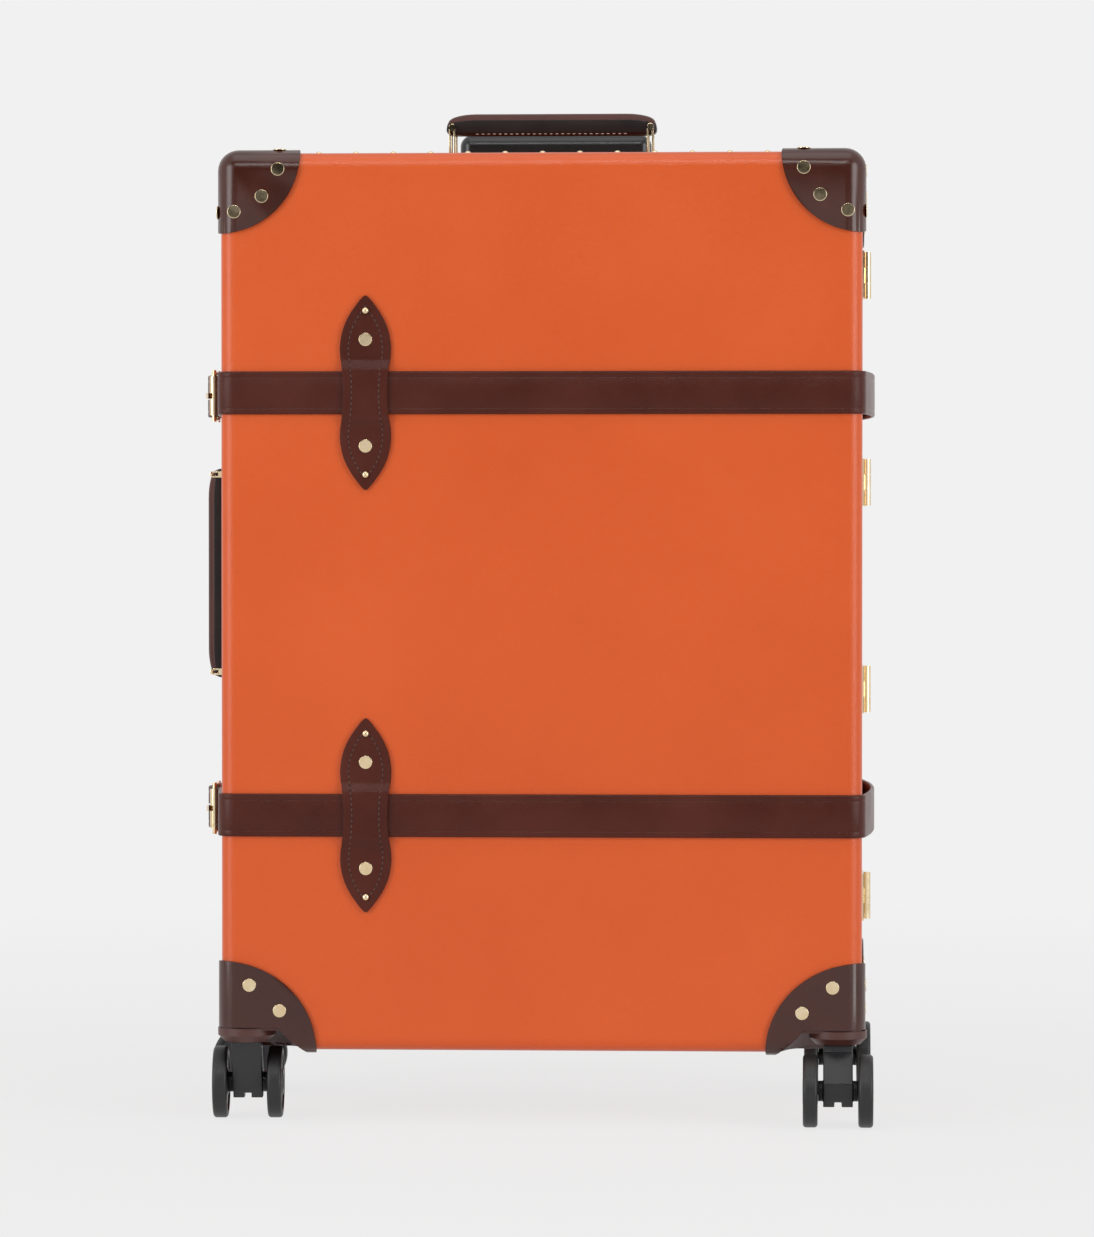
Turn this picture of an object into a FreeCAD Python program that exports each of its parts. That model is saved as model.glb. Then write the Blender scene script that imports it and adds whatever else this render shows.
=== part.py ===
import FreeCAD, Part
import os
import re
import Sketcher

# Upright wheeled suitcase in millimetres. The floor is z = 0, the front panel faces -Y,
# and the case is centred on the vertical axis.

doc = FreeCAD.newDocument("suitcase")

# Driving sizes
SIZES = [
    ("case_width", 500, "shell, left to right"),
    ("case_depth", 260, "shell, front to back"),
    ("case_height", 700, "shell, bottom to top"),
    ("case_lift", 57, "shell bottom above the floor"),
    ("edge_radius", 11, "outside rounding of the shell edges"),
    ("wall", 3, "shell wall"),
    ("lid_depth", 85, "front half, measured from the front panel"),
    ("parting_gap", 0.6, "gap between the two halves"),
    ("fit_gap", 0.3, "clearance between loose neighbours"),
    ("running_gap", 0.05, "radial clearance of pins, stems and axles"),
    ("rim_thickness", 6, "wooden rim frame, in from the wall"),
    ("rim_depth", 18, "wooden rim frame, along the depth"),
    ("lining_thickness", 1.2, "fabric lining"),
    ("cap_leather", 2.8, "thickness of the leather corner caps"),
    ("top_cap_reach", 63, "top corner cap, from the corner"),
    ("bottom_cap_reach", 75, "bottom corner cap along the bottom edges"),
    ("bottom_cap_rise", 70, "bottom corner cap up the edge"),
    ("rivet_radius", 5.2, "flat brass rivet head"),
    ("rivet_height", 1.3, "rivet head above the leather"),
    ("top_rivet_arc", 47.5, "rivets of a top cap, from the corner"),
    ("bottom_rivet_arc", 56, "rivets of a bottom cap, from the corner"),
    ("nail_radius", 3, "domed nail head"),
    ("stud_radius", 3, "domed stud head on the top edge"),
    ("stud_pitch", 29.3, "spacing of the top studs"),
    ("stud_setback", 50, "top studs, in front of the parting line"),
    ("strap_width", 33.4, "leather strap"),
    ("strap_thickness", 3, "leather strap"),
    ("upper_strap", 513, "centre of the upper strap above the shell bottom"),
    ("lower_strap", 184, "centre of the lower strap above the shell bottom"),
    ("strap_bow", 7.5, "how far the strap bows off the hinge side"),
    ("strap_slack", 8.5, "how far the strap stands off beside the buckle"),
    ("buckle_setback", 92, "roller bar behind the front panel"),
    ("buckle_length", 28, "roller bar to heel bar"),
    ("buckle_height", 41, "outside height of the buckle frame"),
    ("bar_radius", 1.7, "roller bar and heel bar of the buckle frame"),
    ("side_bar_radius", 1.6, "side bars of the buckle frame"),
    ("roller_radius", 3.6, "sleeve on the roller bar"),
    ("roller_length", 31, "sleeve on the roller bar"),
    ("prong_width", 4.4, "buckle prong"),
    ("prong_thickness", 2.6, "buckle prong"),
    ("turn_length", 50, "turned and sewn strap end behind the heel bar"),
    ("turn_ramp", 30, "sloping part of the turned strap end"),
    ("tongue_length", 95, "strap tongue past the heel bar"),
    ("keeper_offset", 136, "strap keepers, left of the middle"),
    ("keeper_length", 151, "strap keeper, tip to tip"),
    ("keeper_width", 40, "strap keeper at its shoulders"),
    ("keeper_waist", 34.2, "strap keeper over the strap"),
    ("keeper_shoulder", 35, "shoulders above and below the strap middle"),
    ("keeper_leather", 2.5, "thickness of the keeper"),
    ("keeper_tip_arc", 51.3, "radius of the curved keeper ends"),
    ("keeper_ramp", 9, "slope beside the strap"),
    ("keeper_rivet", 41.4, "keeper rivets from the strap middle"),
    ("keeper_nail", 63.7, "keeper nails from the strap middle"),
    ("hinge_first", 117, "lowest hinge above the shell bottom"),
    ("hinge_pitch", 163.4, "spacing of the hinges"),
    ("hinge_height", 37, "hinge, along its pin"),
    ("hinge_leaf", 20, "hinge leaf width"),
    ("leaf_thickness", 1.6, "hinge leaf"),
    ("knuckle_radius", 3.4, "hinge knuckle"),
    ("hinge_pin", 1.5, "radius of the hinge pin"),
    ("hinge_stand", 3.8, "hinge axis off the shell side"),
    ("lock_offset", 105, "locks above and below the side handle"),
    ("lock_height", 30, "lock case, along Z"),
    ("lock_width", 26, "lock case, along Y"),
    ("lock_depth", 5.5, "lock case off the shell side"),
    ("hasp_width", 24, "hasp plate, along Y"),
    ("hasp_height", 24, "hasp plate, along Z"),
    ("hasp_stand", 1.4, "hasp tongue off the shell side"),
    ("hasp_blade", 12, "hasp tongue, along Z"),
    ("hasp_thickness", 1.4, "hasp plate and tongue"),
    ("hasp_tongue", 12, "hasp tongue inside the lock case"),
    ("slider_travel", 6, "travel of the lock slider"),
    ("track_depth", 1.5, "slider track into the lock case"),
    ("slider_stem", 3, "stem of the lock slider in its track"),
    ("slider_height", 12, "lock slider knob, along Z"),
    ("slider_width", 9, "lock slider knob, along Y"),
    ("slider_rise", 2, "lock slider knob off the lock case"),
    ("grip_length", 170, "leather carrying handle"),
    ("grip_depth", 20, "leather carrying handle"),
    ("grip_thickness", 17, "leather carrying handle"),
    ("grip_round", 7, "rounding of the handle"),
    ("handle_stand", 25, "raised handle, underside above the shell"),
    ("handle_travel", 13, "drop of the handle in its slots"),
    ("side_stand", 18, "side handle drawn out, underside off the shell"),
    ("side_travel", 6, "draw of the side handle in its slots"),
    ("handle_setback", 42, "handles behind the middle of the shell"),
    ("side_handle", 371, "middle of the side handle above the shell bottom"),
    ("post_spacing", 160, "handle brackets, centre to centre"),
    ("post_width", 5.2, "bracket upright"),
    ("post_thickness", 2.5, "bracket upright"),
    ("post_height", 34, "bracket upright of the top handle"),
    ("side_post_height", 27, "bracket upright of the side handle"),
    ("foot_length", 18, "bracket foot plate"),
    ("foot_thickness", 2, "bracket foot plate"),
    ("pin_radius", 1.1, "handle pin"),
    ("pin_height", 5.5, "handle pin above the underside of the handle"),
    ("pin_head", 2.6, "radius of the handle pin head"),
    ("pin_head_height", 1.2, "handle pin head"),
    ("trolley_setback", 22, "trolley tubes in front of the back panel"),
    ("tube_spacing", 120, "trolley tubes, centre to centre"),
    ("tube_width", 18, "trolley tube, along X"),
    ("tube_depth", 10, "trolley tube, along Y"),
    ("tube_wall", 1.2, "trolley tube"),
    ("sleeve_wall", 1.5, "fixed sleeve of a trolley tube"),
    ("sleeve_length", 620, "fixed sleeve of a trolley tube"),
    ("tube_length", 590, "trolley tube"),
    ("bezel_width", 176, "trolley bezel on the top face"),
    ("bezel_depth", 32, "trolley bezel on the top face"),
    ("bezel_height", 6, "trolley bezel on the top face"),
    ("pull_width", 157, "trolley grip"),
    ("pull_depth", 26, "trolley grip"),
    ("pull_height", 24, "trolley grip"),
    ("pull_round", 10, "rounding of the trolley grip"),
    ("button_length", 34, "trolley button"),
    ("button_width", 12, "trolley button"),
    ("button_rise", 2, "trolley button above the grip"),
    ("button_travel", 2.5, "trolley button"),
    ("button_depth", 3, "trolley button inside the grip"),
    ("caster_inset", 18.5, "swivel axis in from the shell faces"),
    ("notch_height", 18, "corner notch over the caster"),
    ("notch_mouth", 49, "radius of the notch at the shell bottom"),
    ("notch_ceiling", 36, "radius of the notch at its ceiling"),
    ("housing_wall", 2.5, "caster housing"),
    ("boss_radius", 22.5, "round boss of the caster housing"),
    ("boss_height", 12, "boss below the notch ceiling"),
    ("boss_chamfer", 5, "chamfer of the boss"),
    ("stem_radius", 5, "swivel stem"),
    ("trail", 22, "axle behind the swivel axis"),
    ("wheel_radius", 28.25, "caster wheel"),
    ("wheel_width", 11.5, "caster wheel"),
    ("wheel_round", 2.5, "rounding of the tread"),
    ("wheel_spread", 54.5, "outside width of a wheel pair"),
    ("fork_width", 23, "caster fork"),
    ("fork_foot", 12, "lobes of the fork below the axle"),
    ("fork_crown", 4.6, "straight back of the fork under its crown"),
    ("fork_slope", 6.9, "sloping corners of the fork"),
    ("fork_waist", 9.2, "front of the fork under its crown"),
    ("fork_toe", 5.8, "flat bottom of the lobes behind the axle"),
    ("fork_heel", 10.4, "back of the lobes behind the axle"),
    ("fork_notch", 5.5, "notch between the lobes"),
    ("hub_radius", 8, "hub boss of the fork"),
    ("axle_radius", 3, "wheel axle"),
]
sheet = doc.addObject("Spreadsheet::Sheet", "Sizes")
for row, (alias, value, note) in enumerate(SIZES, start=1):
    sheet.set(f"A{row}", note)
    sheet.set(f"B{row}", str(value))
    sheet.setAlias(f"B{row}", alias)
doc.recompute()
ALIASES = {alias for alias, value, note in SIZES}

# Places worked out from the driving sizes
HALF_W = "(case_width / 2)"
FRONT = "(-case_depth / 2)"
BACK = "(case_depth / 2)"
TOP = "(case_lift + case_height)"
PARTING = "(lid_depth - case_depth / 2)"
LID_EDGE = f"({PARTING} - parting_gap / 2)"
BASE_EDGE = f"({PARTING} + parting_gap / 2)"
STUD_COUNT = 13
HINGE_COUNT = 4
TOP_RIVET_ANGLES = (16, 46, 76)
BOTTOM_RIVET_ANGLES = (34, 66)


# Building helpers
def sized(text):
    """Point every size named in a formula at its cell of the sheet."""
    def cell(found):
        word = found.group(0)
        return "Sizes." + word if word in ALIASES else word
    return re.sub(r"[A-Za-z_]\w*", cell, text)


def bind(obj, prop, text):
    obj.setExpression(prop, sized(text))


def number(text):
    """The present value of a formula, for the first guess of a sketch."""
    return float(sheet.evalExpression(sized(text)))


TURNS = {
    "X": FreeCAD.Rotation(FreeCAD.Vector(0, 1, 0), 90),
    "-X": FreeCAD.Rotation(FreeCAD.Vector(0, 1, 0), -90),
    "Y": FreeCAD.Rotation(FreeCAD.Vector(1, 0, 0), -90),
    "-Y": FreeCAD.Rotation(FreeCAD.Vector(1, 0, 0), 90),
    "Z": FreeCAD.Rotation(),
}


def place(obj, at, rotation=None):
    """Turn an object, then bind its place to formulas."""
    if rotation is not None:
        obj.Placement = FreeCAD.Placement(FreeCAD.Vector(), rotation)
    for letter, text in zip("xyz", at):
        bind(obj, f"Placement.Base.{letter}", str(text))
    return obj


def box(name, low, high):
    """A box between two corners, given as formulas."""
    obj = doc.addObject("Part::Box", name)
    for prop, near, far in zip(("Length", "Width", "Height"), low, high):
        bind(obj, prop, f"({far}) - ({near})")
    return place(obj, low)


def cylinder(name, radius, length, at, along="Z"):
    obj = doc.addObject("Part::Cylinder", name)
    bind(obj, "Radius", str(radius))
    bind(obj, "Height", str(length))
    return place(obj, at, TURNS[along])


def cone(name, radius_low, radius_high, length, at):
    obj = doc.addObject("Part::Cone", name)
    bind(obj, "Radius1", radius_low)
    bind(obj, "Radius2", radius_high)
    bind(obj, "Height", length)
    return place(obj, at)


def dome(name, radius, at, along="Z"):
    """Half a ball, standing on the face at its place."""
    obj = doc.addObject("Part::Sphere", name)
    obj.Angle1 = 0
    bind(obj, "Radius", radius)
    return place(obj, at, TURNS[along])


def cut(name, base, *tools):
    tool = tools[0] if len(tools) == 1 else fuse(name + "_tools", *tools)
    obj = doc.addObject("Part::Cut", name)
    obj.Base = base
    obj.Tool = tool
    return obj


def fuse(name, *shapes):
    obj = doc.addObject("Part::MultiFuse", name)
    obj.Shapes = list(shapes)
    return obj


def common(name, base, tool):
    obj = doc.addObject("Part::Common", name)
    obj.Base = base
    obj.Tool = tool
    return obj


def group(name, shapes):
    """Several separate solids in one node."""
    obj = doc.addObject("Part::Compound", name)
    obj.Links = list(shapes)
    return obj


def origin_plane(body, role):
    for feature in body.Origin.OriginFeatures:
        if feature.Role == role:
            return feature
    raise ValueError(role)


def outline(body, role, points, arcs=None):
    """A closed sketch through points given as formulas.

    arcs maps the index of a side to (radius, bulge): the side becomes an arc of that
    radius, and bulge is +1 or -1 for a curve to the left or the right of the side.
    """
    arcs = arcs or {}
    sketch = body.newObject("Sketcher::SketchObject", body.Name + "_outline")
    sketch.AttachmentSupport = [(origin_plane(body, role), "")]
    sketch.MapMode = "FlatFace"
    spots = [FreeCAD.Vector(number(u), number(v), 0) for u, v in points]
    starts = []
    ends = []
    for side, here in enumerate(spots):
        there = spots[(side + 1) % len(spots)]
        if side in arcs:
            radius, bulge = number(arcs[side][0]), arcs[side][1]
            chord = there - here
            half = chord.Length / 2
            rise = radius - max(radius * radius - half * half, 0.0) ** 0.5
            left = FreeCAD.Vector(-chord.y, chord.x, 0).normalize()
            middle = (here + there) * 0.5 + left * (bulge * rise)
            forward = bulge < 0
            first, last = (here, there) if forward else (there, here)
            sketch.addGeometry(Part.ArcOfCircle(first, middle, last))
            starts.append(1 if forward else 2)
            ends.append(2 if forward else 1)
        else:
            sketch.addGeometry(Part.LineSegment(here, there))
            starts.append(1)
            ends.append(2)
    count = len(spots)
    for side in range(count):
        after = (side + 1) % count
        meeting = Sketcher.Constraint("Coincident", side, ends[side], after, starts[after])
        sketch.addConstraint(meeting)
    for side, (u, v) in enumerate(points):
        for kind, text, value in (("DistanceX", u, spots[side].x), ("DistanceY", v, spots[side].y)):
            limit = Sketcher.Constraint(kind, -1, 1, side, starts[side], value)
            index = sketch.addConstraint(limit)
            bind(sketch, f"Constraints[{index}]", str(text))
        if side in arcs:
            index = sketch.addConstraint(Sketcher.Constraint("Radius", side, number(arcs[side][0])))
            bind(sketch, f"Constraints[{index}]", arcs[side][0])
    return sketch


def pad(name, role, points, length, at, arcs=None, round_edges=None):
    """A padded outline. It grows along +Z, -Y or +X from the XY, XZ or YZ plane."""
    body = doc.addObject("PartDesign::Body", name)
    sketch = outline(body, role, points, arcs)
    solid = body.newObject("PartDesign::Pad", name + "_pad")
    solid.Profile = sketch
    bind(solid, "Length", length)
    if round_edges is not None:
        doc.recompute()
        rounding = body.newObject("PartDesign::Fillet", name + "_rounding")
        rounding.Base = (solid, [f"Edge{i + 1}" for i in range(len(solid.Shape.Edges))])
        bind(rounding, "Radius", round_edges)
    return place(body, at)


def rectangle(width, depth, middle_u="0", middle_v="0"):
    """Corner formulas of a rectangle about a middle."""
    signs = ((-1, -1), (1, -1), (1, 1), (-1, 1))
    return [
        (f"{middle_u} + {su} * ({width}) / 2", f"{middle_v} + {sv} * ({depth}) / 2")
        for su, sv in signs
    ]


def rounded_block(name, width, depth, height, radius, low, middle_y="0"):
    """A block with every edge rounded."""
    points = rectangle(width, depth)
    return pad(name, "XY_Plane", points, height, ("0", middle_y, low), round_edges=radius)


parts = []


def node(obj, label):
    """Name a finished piece and put it on the list to write."""
    obj.Label = label
    parts.append(obj)
    return obj


# Outer form, cavity and leather offset shared by the shell and the corner caps
case_form = rounded_block(
    "case_form", "case_width", "case_depth", "case_height", "edge_radius", "case_lift",
)


def inset_block(name, inset, radius):
    """The shell form drawn in on every side."""
    sizes = [f"{side} - 2 * ({inset})" for side in ("case_width", "case_depth", "case_height")]
    return rounded_block(name, *sizes, radius, f"case_lift + {inset}")


cavity = inset_block("cavity", "wall", "edge_radius - wall")
cap_form = inset_block("cap_form", "(-cap_leather)", "edge_radius + cap_leather")
cap_skin = cut("cap_skin", cap_form, case_form)
shell_skin = cut("shell_skin", case_form, cavity)

FAR = "(case_width + case_height)"
lid_side = box("lid_side", (f"-{FAR}", f"-{FAR}", f"-{FAR}"), (FAR, LID_EDGE, FAR))
base_side = box("base_side", (f"-{FAR}", BASE_EDGE, f"-{FAR}"), (FAR, FAR, FAR))

# Caster corners: sign along X, sign along Y, heading of the trail from +Y about +Z
CASTERS = {
    "front_left": (-1, -1, 3),
    "front_right": (1, -1, 180),
    "rear_left": (-1, 1, 90),
    "rear_right": (1, 1, 0),
}


def swivel_spot(side_x, side_y):
    return (f"{side_x} * ({HALF_W} - caster_inset)", f"{side_y} * ({BACK} - caster_inset)")


def notch(name, side_x, side_y, margin):
    """Conical hollow over a caster, open through the shell bottom."""
    x, y = swivel_spot(side_x, side_y)
    mouth_radius = f"notch_mouth + {margin}"
    hood = cone(
        name + "_hood", mouth_radius, f"notch_ceiling + {margin}", f"notch_height + {margin}",
        (x, y, "case_lift"),
    )
    below = (x, y, "case_lift - 2 * cap_leather")
    mouth = cylinder(name + "_mouth", mouth_radius, "2 * cap_leather", below)
    return fuse(name, hood, mouth)


notches = {}
lining_notches = {}
for corner, (side_x, side_y, heading) in CASTERS.items():
    notches[corner] = notch(f"notch_{corner}", side_x, side_y, "0")
    lining_notches[corner] = notch(f"lining_notch_{corner}", side_x, side_y, "fit_gap")

# Trolley openings through the top of the shell
TUBE_Y = f"({BACK} - trolley_setback)"


def tube_block(name, side_x, width, depth, low, high):
    """A rectangular bar at one trolley tube."""
    middle = f"{side_x} * tube_spacing / 2"
    return box(
        name,
        (f"{middle} - ({width}) / 2", f"{TUBE_Y} - ({depth}) / 2", low),
        (f"{middle} + ({width}) / 2", f"{TUBE_Y} + ({depth}) / 2", high),
    )


HOLE_WIDTH = "(tube_width + 2 * fit_gap)"
HOLE_DEPTH = "(tube_depth + 2 * fit_gap)"
tube_holes = [
    tube_block(
        f"tube_hole_{i}", side, HOLE_WIDTH, HOLE_DEPTH,
        f"{TOP} - 2 * wall", f"{TOP} + 2 * bezel_height",
    )
    for i, side in enumerate((-1, 1))
]

# Moulded shell halves
lid_half = common("lid_half", shell_skin, lid_side)
lid_notches = [notches["front_left"], notches["front_right"]]
node(cut("lid_shell_solid", lid_half, *lid_notches), "lid_shell")
base_half = common("base_half", shell_skin, base_side)
base_notches = [notches["rear_left"], notches["rear_right"]]
node(cut("base_shell_solid", base_half, *base_notches, *tube_holes), "base_shell")

# Wooden rim frames inside both edges, hollowed where the caster notches reach them
rim_outside = inset_block("rim_outside", "(wall + fit_gap / 2)", "edge_radius - wall")
rim_inside = inset_block("rim_inside", "(wall + rim_thickness)", "rim_thickness / 2")
rim_ring = cut("rim_ring", rim_outside, rim_inside)
rim_slabs = {
    "lid": box("lid_rim_slab", (f"-{FAR}", f"{LID_EDGE} - rim_depth", "0"), (FAR, LID_EDGE, FAR)),
    "base": box("base_rim_slab", (f"-{FAR}", BASE_EDGE, "0"), (FAR, f"{BASE_EDGE} + rim_depth", FAR)),
}
HALF_CORNERS = {"lid": ("front_left", "front_right"), "base": ("rear_left", "rear_right")}
for half, slab in rim_slabs.items():
    bars = common(f"{half}_rim_bars", rim_ring, slab)
    hollows = [lining_notches[corner] for corner in HALF_CORNERS[half]]
    node(cut(f"{half}_rim_solid", bars, *hollows), f"{half}_rim")

# Fabric linings. The one in the base has a false back in front of the trolley sleeves.
SLEEVE_WIDTH = f"({HOLE_WIDTH} + 2 * sleeve_wall)"
SLEEVE_DEPTH = f"({HOLE_DEPTH} + 2 * sleeve_wall)"
LID_LINING_EDGE = f"({LID_EDGE} - rim_depth - fit_gap)"
BASE_LINING_EDGE = f"({BASE_EDGE} + rim_depth + fit_gap)"
FALSE_BACK = f"({TUBE_Y} - {SLEEVE_DEPTH} / 2 - fit_gap)"
LINING_INSET = "(wall + fit_gap / 2)"


def lining(half, front, back):
    """A thin tray against the shell walls, open towards the parting line."""
    name = f"{half}_lining"
    trays = []
    for layer, thick in (("out", "0"), ("in", "lining_thickness")):
        inset = f"({LINING_INSET} + {thick})"
        low, high = (f"{front} + {thick}", back) if half == "lid" else (front, f"{back} - {thick}")
        depth = f"({high}) - ({low})"
        points = rectangle(f"case_width - 2 * {inset}", depth, "0", f"(({high}) + ({low})) / 2")
        trays.append(pad(
            f"{name}_{layer}", "XY_Plane", points, f"case_height - 2 * {inset}",
            ("0", "0", f"case_lift + {inset}"), round_edges="edge_radius - wall",
        ))
    inside = f"({LINING_INSET} + lining_thickness)"
    mouth = "2 * edge_radius"
    near, far = (f"{back} - {mouth}", back) if half == "lid" else (front, f"{front} + {mouth}")
    opening = box(
        f"{name}_opening",
        (f"-{HALF_W} + {inside}", near, f"case_lift + {inside}"),
        (f"{HALF_W} - {inside}", far, f"{TOP} - {inside}"),
    )
    hollows = [lining_notches[corner] for corner in HALF_CORNERS[half]]
    return node(cut(f"{name}_solid", trays[0], trays[1], opening, *hollows), name)


lining("lid", f"({FRONT} + {LINING_INSET})", LID_LINING_EDGE)
lining("base", BASE_LINING_EDGE, FALSE_BACK)

# Leather corner caps, nailed over all eight corners
corner_signs = [(side_x, up) for side_x in (-1, 1) for up in (1, -1)]
for half, side_y in (("lid", -1), ("base", 1)):
    left_notch, right_notch = [notches[corner] for corner in HALF_CORNERS[half]]
    caps = []
    for side_x, up in corner_signs:
        name = f"{half}_cap_{'left' if side_x < 0 else 'right'}_{'top' if up > 0 else 'bottom'}"
        spot = (f"{side_x} * {HALF_W}", f"{side_y} * {BACK}", TOP if up > 0 else "case_lift")
        reach = doc.addObject("Part::Ellipsoid", name + "_reach")
        reach.Angle1 = -90
        bind(reach, "Radius1", "top_cap_reach" if up > 0 else "bottom_cap_rise")
        bind(reach, "Radius2", "top_cap_reach" if up > 0 else "bottom_cap_reach")
        bind(reach, "Radius3", "top_cap_reach" if up > 0 else "bottom_cap_reach")
        place(reach, spot)
        cap = common(name, cap_skin, reach)
        if up < 0:
            cap = cut(name + "_notched", cap, left_notch if side_x < 0 else right_notch)
        caps.append(cap)
    node(group(f"{half}_caps", caps), f"{half}_corner_caps")

# Strap keepers: pointed leather plaques that bridge the straps
STRAP_LEVELS = {"upper": "(case_lift + upper_strap)", "lower": "(case_lift + lower_strap)"}
STRAP_TOP = "(strap_thickness + fit_gap)"
RAMP_TOP = "(strap_width / 2 + fit_gap)"
RAMP_FOOT = "(strap_width / 2 + fit_gap + keeper_ramp)"


def keeper(name, level, side_y):
    """A plaque bent over the strap, trimmed to its waisted outline."""
    face = f"({side_y} * {BACK})"
    inner = [("0", "keeper_length / 2"), ("0", RAMP_FOOT), (STRAP_TOP, RAMP_TOP)]
    path = inner + [(u, f"-({v})") for u, v in reversed(inner)]
    back_path = [(f"{u} + keeper_leather", v) for u, v in reversed(path)]
    points = [(f"{face} + {side_y} * ({u})", v) for u, v in path + back_path]
    corner = ("-keeper_offset - keeper_width / 2", "0", level)
    strip = pad(name + "_strip", "YZ_Plane", points, "keeper_width", corner)
    tip = "(keeper_length / 2)"
    half_width = "(keeper_width / 2)"
    half_waist = "(keeper_waist / 2)"
    plaque = [
        ("0", tip), (f"-{half_width}", "keeper_shoulder"),
        (f"-{half_waist}", "0"), (f"-{half_width}", "-keeper_shoulder"),
        ("0", f"-{tip}"), (half_width, "-keeper_shoulder"),
        (half_waist, "0"), (half_width, "keeper_shoulder"),
    ]
    bend = {side: ("keeper_tip_arc", -1) for side in (0, 3, 4, 7)}
    start = "0" if side_y < 0 else "case_depth"
    spot = ("-keeper_offset", start, level)
    trim = pad(name + "_trim", "XZ_Plane", plaque, "case_depth", spot, arcs=bend)
    return common(name, strip, trim)


for half, side_y in (("lid", -1), ("base", 1)):
    plaques = [
        keeper(f"{half}_keeper_{level}", place_z, side_y)
        for level, place_z in STRAP_LEVELS.items()
    ]
    node(group(f"{half}_keeper_pair", plaques), f"{half}_keepers")

# Rivets and nails, one group on each half
OUT = {-1: {"x": "-X", "y": "-Y"}, 1: {"x": "X", "y": "Y"}}


def rivet(name, at, along):
    return cylinder(name, "rivet_radius", "rivet_height", at, along)


def cap_rivets(name, side_x, side_y, up):
    """Rivets in an arc on each visible face of one corner cap."""
    made = []
    top_cap = up > 0
    arc = "top_rivet_arc" if top_cap else "bottom_rivet_arc"
    face_y = f"{side_y} * ({BACK} + cap_leather)"
    face_x = f"{side_x} * ({HALF_W} + cap_leather)"
    for step, angle in enumerate(TOP_RIVET_ANGLES if top_cap else BOTTOM_RIVET_ANGLES):
        run = f"{arc} * cos({angle})"
        rise = f"{arc} * sin({angle})"
        x = f"{side_x} * ({HALF_W} - {run})"
        z = f"{TOP} - {rise}" if top_cap else f"case_lift + {rise}"
        made.append(rivet(f"{name}_y{step}", (x, face_y, z), OUT[side_y]["y"]))
        along_side = (face_x, f"{side_y} * ({BACK} - {run})", z)
        made.append(rivet(f"{name}_x{step}", along_side, OUT[side_x]["x"]))
        if top_cap:
            on_top = (x, f"{side_y} * ({BACK} - {rise})", f"{TOP} + cap_leather")
            made.append(rivet(f"{name}_z{step}", on_top, "Z"))
    return made


for half, side_y in (("lid", -1), ("base", 1)):
    heads = []
    for side_x, up in corner_signs:
        name = f"{half}_rivet_{'l' if side_x < 0 else 'r'}{'t' if up > 0 else 'b'}"
        heads += cap_rivets(name, side_x, side_y, up)
    face_y = f"{side_y} * ({BACK} + keeper_leather)"
    facing = OUT[side_y]["y"]
    for level, place_z in STRAP_LEVELS.items():
        for sign, word in ((1, "high"), (-1, "low")):
            name = f"{half}_{level}_{word}"
            rivet_spot = ("-keeper_offset", face_y, f"{place_z} + {sign} * keeper_rivet")
            heads.append(rivet(name + "_rivet", rivet_spot, facing))
            nail_spot = ("-keeper_offset", face_y, f"{place_z} + {sign} * keeper_nail")
            heads.append(dome(name + "_nail", "nail_radius", nail_spot, facing))
    node(group(f"{half}_rivet_group", heads), f"{half}_rivets")

# Row of domed studs along the top of the lid
studs = []
for i in range(STUD_COUNT):
    spot = (f"stud_pitch * {i - (STUD_COUNT - 1) / 2}", f"{PARTING} - stud_setback", TOP)
    studs.append(dome(f"stud_{i}", "stud_radius", spot))
node(group("stud_row", studs), "top_studs")

# Straps. u is the distance off the left face of the shell, where the buckles sit.
ROLLER_Y = f"({FRONT} + buckle_setback)"
HEEL_Y = f"({ROLLER_Y} + buckle_length)"
BAR_U = "(strap_slack + strap_thickness + fit_gap + roller_radius)"
LOOP_R = "(bar_radius + running_gap + strap_thickness)"
LOOP_LOW = f"({BAR_U} - {LOOP_R})"
LOOP_HIGH = f"({BAR_U} + {LOOP_R})"
OVER_LOOP = f"({LOOP_HIGH} + fit_gap)"
TURN_HIGH = f"({LOOP_LOW} + 2 * strap_thickness)"
PRONG_SLOT = "(prong_width + 4 * fit_gap)"


def on_left(u, y):
    return (f"-{HALF_W} - ({u})", y)


def wrap(name, side_y, level):
    """A strap run across the front or the back, bent round both vertical edges."""
    flat = f"{side_y} * {BACK}"
    out = f"{side_y} * ({BACK} + strap_thickness)"
    end = f"{side_y} * ({BACK} - edge_radius)"
    run = f"({HALF_W} - edge_radius)"
    points = [
        (f"-{HALF_W} - strap_thickness", end), (f"-{run}", out),
        (run, out), (f"{HALF_W} + strap_thickness", end),
        (HALF_W, end), (run, flat), (f"-{run}", flat), (f"-{HALF_W}", end),
    ]
    outer, inner = "edge_radius + strap_thickness", "edge_radius"
    arcs = {0: (outer, side_y), 2: (outer, side_y), 4: (inner, -side_y), 6: (inner, -side_y)}
    spot = ("0", "0", f"{level} - strap_width / 2")
    return pad(name, "XY_Plane", points, "strap_width", spot, arcs=arcs)


def prong_gap(name, level, low_y, high_y):
    """Hole for the buckle prong through the leather."""
    return box(
        name,
        (f"-{HALF_W} - {OVER_LOOP} - 2 * strap_thickness", low_y, f"{level} - {PRONG_SLOT} / 2"),
        (f"-{HALF_W} - strap_slack", high_y, f"{level} + {PRONG_SLOT} / 2"),
    )


FRONT_END = f"({FRONT} + edge_radius)"
BACK_END = f"({BACK} - edge_radius)"
BOW_CHORD = "(case_depth - 2 * edge_radius)"
BOW_RADIUS = f"(({BOW_CHORD} * {BOW_CHORD} / 4 + strap_bow * strap_bow) / (2 * strap_bow))"

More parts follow.
